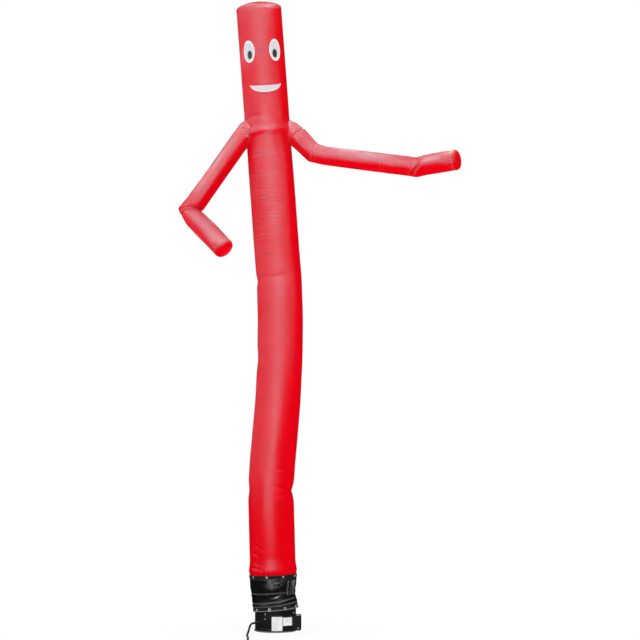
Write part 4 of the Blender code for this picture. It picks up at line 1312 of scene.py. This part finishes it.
SKIRT_RADIUS = 0.1150
SKIRT_FOLDS = fold_metres([
    # the front swells out under the band and catches the light
    Fold(-0.0030, 0.0170, [(-20, 0.232), (-2, 0.230), (14, 0.228)]),
    # drawn down from the band at the front, and the long slanting fold to the flap
    Fold(0.0030, 0.0055, [(-7, 0.268), (-2, 0.254), (3, 0.238), (5, 0.222)]),
    Fold(-0.0024, 0.0050, [(-12, 0.270), (-11, 0.252), (-6, 0.232), (-2, 0.214)]),
    Fold(0.0032, 0.0042, [(4, 0.232), (16, 0.235), (29, 0.246), (46, 0.258)]),
    Fold(-0.0020, 0.0042, [(2, 0.241), (16, 0.245), (29, 0.256), (42, 0.264)]),
    Fold(0.0014, 0.0045, [(8, 0.214), (20, 0.212), (30, 0.216)]),
    # a soft hollow over the rolls, and the fold that catches the light
    Fold(-0.0022, 0.0040, [(-6, 0.166), (8, 0.170), (24, 0.177)]),
    Fold(0.0030, 0.0045, [(-12, 0.176), (6, 0.180), (26, 0.188), (40, 0.190)]),
    Fold(0.0018, 0.0050, [(-80, 0.176), (-60, 0.172), (-44, 0.174)]),
    Fold(0.0014, 0.0060, [(-70, 0.236), (-56, 0.228), (-40, 0.232)]),
    # uneven rolls
    Fold(0.0016, 0.0028, [(20, 0.155), (40, 0.153), (64, 0.151), (86, 0.150)]),
    Fold(-0.0012, 0.0028, [(30, 0.163), (56, 0.160), (84, 0.158)]),
    Fold(0.0012, 0.0026, [(-40, 0.136), (-10, 0.137), (16, 0.138)]),
    # the sides and back
    Fold(0.0026, 0.0055, [(100, 0.262), (108, 0.236), (104, 0.212)]),
    Fold(0.0024, 0.0055, [(150, 0.255), (158, 0.232), (150, 0.210)]),
    Fold(0.0026, 0.0055, [(-150, 0.262), (-140, 0.238), (-146, 0.206)]),
    Fold(0.0022, 0.0050, [(-110, 0.250), (-104, 0.228), (-112, 0.208)]),
    Fold(0.0020, 0.0040, [(120, 0.178), (145, 0.172), (170, 0.176)]),
    Fold(0.0020, 0.0040, [(-170, 0.174), (-140, 0.180), (-112, 0.174)]),
], SKIRT_RADIUS)
WELT_HEIGHT = 0.1945


def skirt_spoke(x, height, tilt, azimuth):
    """A skirt section's middle, and its spoke at an azimuth."""
    slope, angle = math.radians(tilt), math.radians(azimuth)
    right = Vector((math.cos(slope), 0.0, math.sin(slope)))
    spoke = Vector((0.0, -1.0, 0.0)) * math.cos(angle) + right * math.sin(angle)
    return Vector((x, 0.0, height)), spoke


def skirt_rise(azimuth, height):
    """How far the skirt's folds, its welt and its slackness move its wall."""
    across = math.radians(azimuth) * SKIRT_RADIUS
    rise = fold_rise(SKIRT_FOLDS, across, height)
    rise += 0.0014 * bell(height, WELT_HEIGHT, 0.0013)
    spoke = outward(azimuth)
    slack = noise.noise(Vector((spoke.x * 3.0, spoke.y * 3.0, height * 60.0)))
    ease = clamp((0.262 - height) / 0.012) * clamp((height - 0.120) / 0.012)
    return rise * clamp((0.266 - height) / 0.006) + 0.0011 * slack * ease


def skirt_point(azimuth, height, lift=0.0):
    """A point on the skirt, or lifted off it."""
    _, x, radius, tilt = curved_between(SKIRT, height)
    middle, spoke = skirt_spoke(x, height, tilt, azimuth)
    return middle + spoke * (radius + skirt_rise(azimuth, height) - 0.0002 + lift)


def band_point(rows, azimuth, height, lift=0.0):
    """A point on one of the skirt's bands, or lifted off it."""
    _, x, radius, tilt = between(rows, height)
    middle, spoke = skirt_spoke(x, height, tilt, azimuth)
    return middle + spoke * (radius + lift)


def band_facing(rows, azimuth, height):
    """The way that a band's wall faces."""
    up = band_point(rows, azimuth, height + 0.002) - band_point(rows, azimuth, height - 0.002)
    along = band_point(rows, azimuth + 2.0, height) - band_point(rows, azimuth - 2.0, height)
    return along.cross(up).normalized()


def ring_stitches(name, point, count, thread, length=0.0042, azimuths=(-180.0, 180.0)):
    """Stitches along a line of point(azimuth) right round, or between two azimuths."""
    first, last = azimuths
    spots = []
    for k in range(count):
        azimuth = first + (last - first) * (k + 0.5) / count
        spot = point(azimuth)
        spots.append((spot, point(azimuth + 1.0) - spot, outward(azimuth)))
    sew(name, spots, thread, length, 0.0009)


def make_skirt(vinyl, webbing, grey_thread):
    """The skirt's sheet and its top binding."""
    low, high = SKIRT[0].height, SKIRT[-1].height
    profile = 0.166

    def place(across, along):
        return skirt_point(azimuth_at(across), low + (high - low) * along)

    # painted light on the sheet: wear and painted highlight on the standing folds, painted highlight
    # lines on the rolls and the welt, a painted highlight down the front and two painted glints
    def wear_and_highlight(share, along):
        azimuth, height = azimuth_at(share), low + (high - low) * along
        across = math.radians(azimuth) * SKIRT_RADIUS
        standing = max(0.0, fold_rise(SKIRT_FOLDS, across, height)) / 0.0016
        climb = 0.0035 * clamp(azimuth / 58)
        on_roll = bell(height, 0.1512 + climb, 0.0034, 4)
        on_roll += 1.1 * bell(height, 0.1312 + climb, 0.0034, 4)
        on_welt = bell(height, WELT_HEIGHT, 0.0016)
        # a painted highlight fanning down the front from the band
        front = bell(azimuth, -1, 14) * clamp((height - 0.198) / 0.05)
        worn_and_lit = min(1.1, 0.3 * standing + on_roll + on_welt + 0.75 * front)
        # two painted glints
        painted_glint = 0.35 * bell(azimuth, -8, 9) * bell(height, 0.262, 0.006)
        painted_glint += 1.8 * bell(azimuth, 10, 9) * bell(height, 0.1735 + 0.0005 * (azimuth - 10), 0.0024)
        return worn_and_lit + painted_glint

    girth = math.tau * SKIRT_RADIUS
    shape = cloth_grid(220, 150, (girth, profile), place, True, {"wear_and_highlight": wear_and_highlight})
    skirt = add_piece("skirt_sheet", shape, vinyl, ["skirt"], VINYL)

    def band_place(across, along):
        azimuth = azimuth_at(across)
        height = TOP_BAND[0].height + (TOP_BAND[1].height - TOP_BAND[0].height) * along
        edge = 0.0006 * (1 - abs(2 * along - 1) ** 4)
        wander = 0.0004 * math.sin(9 * math.radians(azimuth)) + 0.0003 * math.sin(
            23 * math.radians(azimuth))
        return band_point(TOP_BAND, azimuth, height + wander * along, edge)

    flat = (math.tau * TOP_BAND[0].radius, TOP_BAND_WIDTH)
    band = add_piece("top_binding", cloth_grid(150, 14, flat, band_place, True),
                     webbing, ["skirt_top_band"], 0.0013)
    ring_stitches("binding_stitches",
                  lambda azimuth: skirt_point(azimuth, 0.2627, 0.0005),
                  125, grey_thread)
    ring_stitches("welt_stitches",
                  lambda azimuth: skirt_point(azimuth, WELT_HEIGHT - 0.0030, 0.0004),
                  120, grey_thread)


def make_studs(metal):
    """Press studs: low domed caps with a rolled rim."""
    profile = rounded([(0.0, 0.0026), (0.0018, 0.0025), (0.0034, 0.0016), (0.0036, 0.0010),
                       (0.0044, 0.0011), (0.0045, 0.0)], 0.0004)
    for number, azimuth in enumerate(STUD_AZIMUTHS, 1):
        place = band_point(TOP_BAND, azimuth, STUD_HEIGHT, 0.0006)
        shape = turned_shape(profile + [(0.0, 0.0)], 28,
                             facing(place, band_facing(TOP_BAND, azimuth, STUD_HEIGHT)))
        add_piece("stud_%d" % number, shape, metal, ["press_stud_%d" % number])


def make_eyelet_strip(webbing, metal, grey_thread):
    """The strip at the skirt's foot, punched for its grommets, with a bound edge."""
    low, high = EYELET_BAND[0].height, EYELET_BAND[1].height

    def place(across, along):
        azimuth = azimuth_at(across)
        binding = 0.0008 * bell(along, 0.09, 0.06, 4)
        waver = 0.0006 * math.sin(5 * math.radians(azimuth) + 1.0)
        return band_point(EYELET_BAND, azimuth, low + (high - low) * along,
                          binding - 0.0002 + waver * (1 - along) * along)

    flat = (math.tau * 0.1125, EYELET_BAND_WIDTH)
    # painted highlights along the bound lower edge and the top edge
    shape = cloth_grid(360, 16, flat, place, True, {
        "wear_and_highlight": lambda across, along: bell(along, 0.13, 0.15, 4) + 0.7 * bell(along, 0.97, 0.12)})
    holes = []
    for azimuth in STUD_AZIMUTHS:
        way = band_facing(EYELET_BAND, azimuth, EYELET_HEIGHT)
        holes.append((band_point(EYELET_BAND, azimuth, EYELET_HEIGHT), way))
    punched = [vertex for vertex in shape.verts
               if any((vertex.co - hole - way * (vertex.co - hole).dot(way)).length < EYELET_RADIUS
                      and (vertex.co - hole).length < 0.02 for hole, way in holes)]
    bmesh.ops.delete(shape, geom=punched, context="VERTS")
    strip = add_piece("eyelet_strip", shape, webbing, ["eyelet_band"], VINYL)

    flange, barrel, bore = 0.0075, EYELET_RADIUS - 0.0004, 0.0040
    inner, outer = VINYL / 2 + GAP, VINYL / 2 + GAP + 0.0007
    spool = rounded([(barrel, inner), (barrel, -inner), (flange, -inner), (flange, -outer),
                     (bore + 0.0006, -outer), (bore, -outer + 0.0006), (bore, outer - 0.0006),
                     (bore + 0.0006, outer), (flange, outer), (flange, inner),
                     (barrel, inner)], 0.0003, 2)
    for number, (place_on, way) in enumerate(holes, 1):
        shape = turned_shape(spool, 40, facing(place_on - way * VINYL / 2, way))
        add_piece("eyelet_ring_%d" % number, shape, metal,
                  ["grommet_%d" % number])
    ring_stitches("strip_stitches",
                  lambda azimuth: band_point(EYELET_BAND, azimuth, low + 0.0042, 0.0006),
                  125, grey_thread)


FLAP_LEFT, FLAP_RIGHT = 36.0, 78.0
FLAP_LOW, FLAP_HIGH = 0.1770, 0.2545
FLAP_FOLDS = fold_metres([
    Fold(-0.0022, 0.0030, [(57, 0.178), (56, 0.210), (58, 0.242)]),
    Fold(0.0016, 0.0030, [(51, 0.180), (50, 0.212), (51, 0.240)]),
    Fold(-0.0020, 0.0030, [(68, 0.182), (70, 0.215), (72, 0.244)]),
    Fold(0.0016, 0.0030, [(63, 0.180), (63, 0.212), (65, 0.243)]),
], SKIRT_RADIUS)


def make_flap(vinyl, grey_thread):
    """The closure flap, with its doubled top hem and its upright folds."""
    def flap_point(azimuth, height, lift=0.0):
        across = math.radians(azimuth) * SKIRT_RADIUS
        rise = max(0.0, 0.0010 + fold_rise(FLAP_FOLDS, across, height))
        rise += 0.0012 * (1 / (1 + math.exp(-(height - 0.2462) / 0.0004)))
        _, x, radius, tilt = curved_between(SKIRT, height)
        middle, spoke = skirt_spoke(x, height, tilt, azimuth)
        edge = clamp(min(azimuth - FLAP_LEFT, FLAP_RIGHT - azimuth) / 3.0)
        under = max(0.0, skirt_rise(azimuth, height))
        return middle + spoke * (radius + under + GAP + rise * edge + lift)

    def spot_at(across, along):
        return (FLAP_LEFT + (FLAP_RIGHT - FLAP_LEFT) * across,
                FLAP_LOW + (FLAP_HIGH - FLAP_LOW) * along)

    # painted highlights: a bright line down the left edge, a slanting line and a broad band over the
    # folds
    def wear_and_highlight(across, along):
        azimuth, height = spot_at(across, along)
        line = max(bell(azimuth, 40.5, 1.5),
                   0.8 * bell(azimuth, 51.5 - 40 * (0.25 - height), 2.2))
        broad = bell(azimuth, 61, 6, 4) * min(1.0, 0.80 + 6 * (height - 0.20))
        return 1.30 * max(line, broad)

    flat = (math.radians(FLAP_RIGHT - FLAP_LEFT) * 0.116, 0.078)
    shape = cloth_grid(60, 90, flat, lambda across, along: flap_point(*spot_at(across, along)),
                       marks={"wear_and_highlight": wear_and_highlight})
    flap = add_piece("flap", shape, vinyl, ["closure_flap"], 0.0012, 1.0)

    spots = []
    for k in range(15):
        height = FLAP_LOW + 0.004 + (FLAP_HIGH - FLAP_LOW - 0.008) * k / 14
        for azimuth in (FLAP_LEFT + 2.0, FLAP_RIGHT - 2.0):
            spot = flap_point(azimuth, height, 0.0016)
            spots.append((spot, Vector((0, 0, 1)), outward(azimuth)))
    for k in range(12):
        azimuth = FLAP_LEFT + 3.0 + (FLAP_RIGHT - FLAP_LEFT - 6.0) * k / 11
        for height in (0.2450, 0.2530):
            spot = flap_point(azimuth, height, 0.0016)
            spots.append((spot, flap_point(azimuth + 1.0, height, 0.0016) - spot,
                          outward(azimuth)))
    sew("flap_stitches", spots, grey_thread, 0.0040, 0.0009)


# --- the blower ------------------------------------------------------------------------------

def make_drum(plastic, base_plastic):
    """The round housing with its moulding line and outlet collar, on the flanged base."""
    radius, foot = DRUM_RADIUS, DRUM_FOOT
    drum = rounded([
        (0.0, COLLAR_TOP), (COLLAR_RADIUS - 0.004, COLLAR_TOP), (COLLAR_RADIUS, COLLAR_TOP - 0.004),
        (COLLAR_RADIUS, 0.1230), (radius - 0.0012, 0.1210), (radius - 0.0012, 0.1150),
        (radius, 0.1130), (radius, 0.0880), (radius - 0.0010, 0.0872), (radius - 0.0010, 0.0860),
        (radius, 0.0852), (radius, foot + 0.0130), (radius - 0.0012, foot + 0.0120),
        (radius - 0.0012, foot + 0.0100), (radius, foot + 0.0090), (radius, foot + 0.003),
        (radius - 0.003, foot), (0.0, foot)], 0.0012, 3)
    add_piece("housing", turned_shape(drum, 144), plastic, ["blower_drum"])
    base = rounded([
        (0.0, BASE_HEIGHT), (BASE_RADIUS - 0.0025, BASE_HEIGHT), (BASE_RADIUS, BASE_HEIGHT - 0.002),
        (BASE_RADIUS, 0.0018), (BASE_RADIUS - 0.0020, 0.0), (0.0, 0.0)], 0.0012, 3)
    add_piece("base_flange", turned_shape(base, 144), base_plastic,
              ["blower_base"])


Plate = namedtuple("Plate", "name node left right bottom top")
PLATES = [
    Plate("large_plate", "blank_plate_large", -9.0, 21.0, 0.0088, 0.0785),
    Plate("small_plate", "blank_plate_small", 23.0, 54.0, 0.0335, 0.0740),
]


def make_plates(finish):
    """Bare plates bent to the drum, with rounded corners."""
    for plate in PLATES:
        width = math.radians(plate.right - plate.left) * DRUM_RADIUS
        height = plate.top - plate.bottom
        corner = 0.0022

        def place(across, along):
            # pull each corner of the sheet in to a quarter circle
            x, y = across * width, along * height
            near_x, near_y = min(x, width - x), min(y, height - y)
            if near_x < corner and near_y < corner:
                dx, dy = corner - near_x, corner - near_y
                most = max(dx, dy)
                pull = most / math.hypot(dx, dy)
                x += (dx - dx * pull) * (1 if x < width / 2 else -1)
                y += (dy - dy * pull) * (1 if y < height / 2 else -1)
            azimuth = plate.left + math.degrees(x / DRUM_RADIUS)
            edge = min(1.0, min(near_x, near_y) / 0.0006)
            return outward(azimuth) * (DRUM_RADIUS + GAP + 0.0003 * edge) + Vector(
                (0.0, 0.0, plate.bottom + y))

        shape = cloth_grid(48, 60, (width, height), place)
        add_piece(plate.name, shape, finish, [plate.node], 0.0006, 1.0)


def make_screws(metal):
    """Pan-head screws with a cross recess."""
    profile = rounded([(0.0, 0.0021), (0.0020, 0.0019), (0.0034, 0.0009), (0.0036, 0.0),
                       (0.0, 0.0)], 0.0006)
    spots = [(outward(azimuth) * (DRUM_RADIUS + GAP) + Vector((0.0, 0.0, height)),
              outward(azimuth)) for azimuth, height in
             [(-28.5, 0.0905), (-28.5, 0.0668), (62.0, 0.0950)]]
    spots.append((Vector((0.1145, -0.0560 - GAP, 0.0180)), outward(0.0)))
    for number, (place, way) in enumerate(spots, 1):
        shape = turned_shape(profile, 32)
        for vertex in shape.verts:
            x, y = abs(vertex.co.x), abs(vertex.co.y)
            if vertex.co.z > 0.0012 and min(x, y) < 0.0005 and max(x, y) < 0.0023:
                vertex.co.z -= 0.0007
        bmesh.ops.transform(shape, matrix=facing(place, way), verts=shape.verts)
        add_piece("screw_head_%d" % number, shape, metal,
                  ["blower_screw_%d" % number])


# --- the lead --------------------------------------------------------------------------------

def coil_route():
    """Three and a quarter turns: out and low, in and low, in and high, then out and high."""
    near, far = COIL_RADIUS - CORD_RADIUS, COIL_RADIUS + CORD_RADIUS
    low, high = CORD_RADIUS + 0.0005, 3 * CORD_RADIUS + 0.0005
    changes = [(180, far, low), (470, far, low), (530, near, low), (770, near, low),
               (832, near, high), (1080, near, high), (1170, far, high), (1340, far, high)]
    points = []
    for angle in range(190, 1345, 6):
        for before, after in zip(changes, changes[1:]):
            if angle <= after[0]:
                break
        share = (angle - before[0]) / (after[0] - before[0])
        share = share * share * (3 - 2 * share)
        radius = before[1] + (after[1] - before[1]) * share
        height = before[2] + (after[2] - before[2]) * share
        turn = math.radians(angle)
        points.append(tuple(COIL_CENTRE + Vector((math.cos(turn) * radius,
                                                  math.sin(turn) * radius, height))))
    return points


def make_lead(rubber, plastic, webbing):
    """The boot, the lead with its coil and tie, and the moulded plug."""
    route = CORD_ROUTE[:-1] + [(-0.1190, -0.6120, 0.0057)] + coil_route() + TAIL_ROUTE[1:]
    line = smooth_route(route, 0.005)
    curve = bpy.data.curves.new("lead", "CURVE")
    curve.dimensions = "3D"
    curve.bevel_depth = CORD_RADIUS - 0.00005
    curve.bevel_resolution = 5
    curve.use_fill_caps = True
    spline = curve.splines.new("POLY")
    spline.points.add(len(line) - 1)
    for spot, point in zip(spline.points, line):
        spot.co = (*point, 1.0)
    curve.materials.append(rubber)
    lead = bpy.data.objects.new("lead", curve)
    bpy.context.scene.collection.objects.link(lead)
    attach(lead, "root")
    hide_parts("cord_run", "cord_coil", "cord_tail")
    length = sum((b - a).length for a, b in zip(line, line[1:]))

    seat = outward(GLAND_AZIMUTH) * (DRUM_RADIUS + GAP) + Vector((0.0, 0.0, GLAND_HEIGHT))
    boot = [(0.0, 0.0270), (0.0058, 0.0270)]
    for k in range(5):
        top = 0.0250 - 0.0036 * k
        width = 0.0064 + 0.0005 * k
        boot += [(width, top), (width, top - 0.0018), (width - 0.0007, top - 0.0022),
                 (width - 0.0006, top - 0.0034)]
    boot += [(0.0098, 0.0058), (0.0100, 0.0052), (0.0100, 0.0), (0.0, 0.0)]
    shape = turned_shape(rounded(boot, 0.0004, 2), 40, facing(seat, outward(GLAND_AZIMUTH)))
    add_piece("boot", shape, plastic, ["cord_gland"])

    plug = make_plug(plastic)
    tie = make_tie(webbing)


def make_plug(plastic):
    """A moulded plug with a ribbed neck."""
    body = [(0.0, 0.0460), (0.0126, 0.0460), (0.0138, 0.0448), (0.0138, 0.0230),
            (0.0130, 0.0200), (0.0112, 0.0176)]
    for k in range(4):
        top = 0.0160 - 0.0038 * k
        width = 0.0098 - 0.0008 * k
        body += [(width, top), (width, top - 0.0018), (width - 0.0009, top - 0.0022),
                 (width - 0.0009, top - 0.0034)]
    body += [(0.0060, 0.0), (0.0, 0.0)]
    shape = turned_shape(rounded(body, 0.0006, 2), 48, facing(PLUG_START, Vector((1, 0, 0))))
    return add_piece("plug", shape, plastic, ["plug_body"])


def make_tie(webbing):
    """A strap round the coil's turns that keeps them together."""
    turn = math.radians(20.0)
    out, up = Vector((math.cos(turn), math.sin(turn), 0.0)), Vector((0, 0, 1))
    middle = COIL_CENTRE + out * COIL_RADIUS
    middle.z = 2 * CORD_RADIUS + 0.0005
    along = out.cross(up)
    half = 2 * CORD_RADIUS + 0.0003
    width = 0.012

    def place(across, share):
        angle = math.tau * across
        x, y = math.cos(angle), math.sin(angle)
        square = 1 / max(abs(x), abs(y), 0.80 * (abs(x) + abs(y)))
        height = y * square * half
        if height < 0:
            height = max(height, -middle.z + 0.0004)
        return middle + out * (x * square * half) + up * height + along * (share - 0.5) * width

    shape = cloth_grid(64, 8, (4 * 2 * half, width), place, closed=True)
    bmesh.ops.recalc_face_normals(shape, faces=shape.faces)
    return add_piece("coil_tie", shape, webbing, (), 0.0004, 0.0)


# --- everything ------------------------------------------------------------------------------

def main():
    """Set the stage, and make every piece."""
    set_camera()
    set_lights()
    lay_floor()

    nylon = nylon_finish()
    white = patch_finish("white_nylon", (0.66, 0.64, 0.635), (0.59, 0.575, 0.57), (0.86, 0.82, 0.79))
    grey = patch_finish("grey_nylon", (0.015, 0.019, 0.018), (0.008, 0.011, 0.010),
                        (0.012, 0.015, 0.014))
    vinyl = vinyl_finish()
    webbing = webbing_finish()
    metal = metal_finish()
    plastic = plastic_finish("black_plastic", (0.005, 0.005, 0.005), (0.010, 0.010, 0.010), 0.34)
    base_plastic = plastic_finish("grey_plastic", (0.085, 0.085, 0.085), (0.13, 0.13, 0.13), 0.5)
    rubber = rubber_finish()
    red_thread = thread_finish("red_thread", (0.62, 0.004, 0.012))
    white_thread = thread_finish("white_thread", (0.78, 0.78, 0.76))
    grey_thread = thread_finish("grey_thread", (0.40, 0.40, 0.40))
    dark_thread = thread_finish("dark_thread", (0.05, 0.055, 0.055))

    make_lead(rubber, plastic, webbing)
    make_sleeve(nylon, red_thread)
    make_crown(nylon, red_thread)
    make_arm("bent", BENT_ARM, BENT_ARM_FOLDS, nylon, red_thread)
    make_arm("reaching", REACHING_ARM, REACHING_ARM_FOLDS, nylon, red_thread)
    for patch in PATCHES:
        make_oval(patch, grey if patch.layer else white, dark_thread if patch.layer else white_thread)
    make_mouth(white, white_thread)
    make_skirt(vinyl, webbing, grey_thread)
    make_studs(metal)
    make_eyelet_strip(webbing, metal, grey_thread)
    make_flap(vinyl, grey_thread)
    make_drum(plastic, base_plastic)
    make_plates(plate_finish())
    make_screws(metal)

    for node, finish in (("blower_side_box", plastic), ("plug_blade_left", metal),
                         ("plug_blade_right", metal), ("plug_pin", metal)):
        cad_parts[node].material_slots[0].material = finish


main()
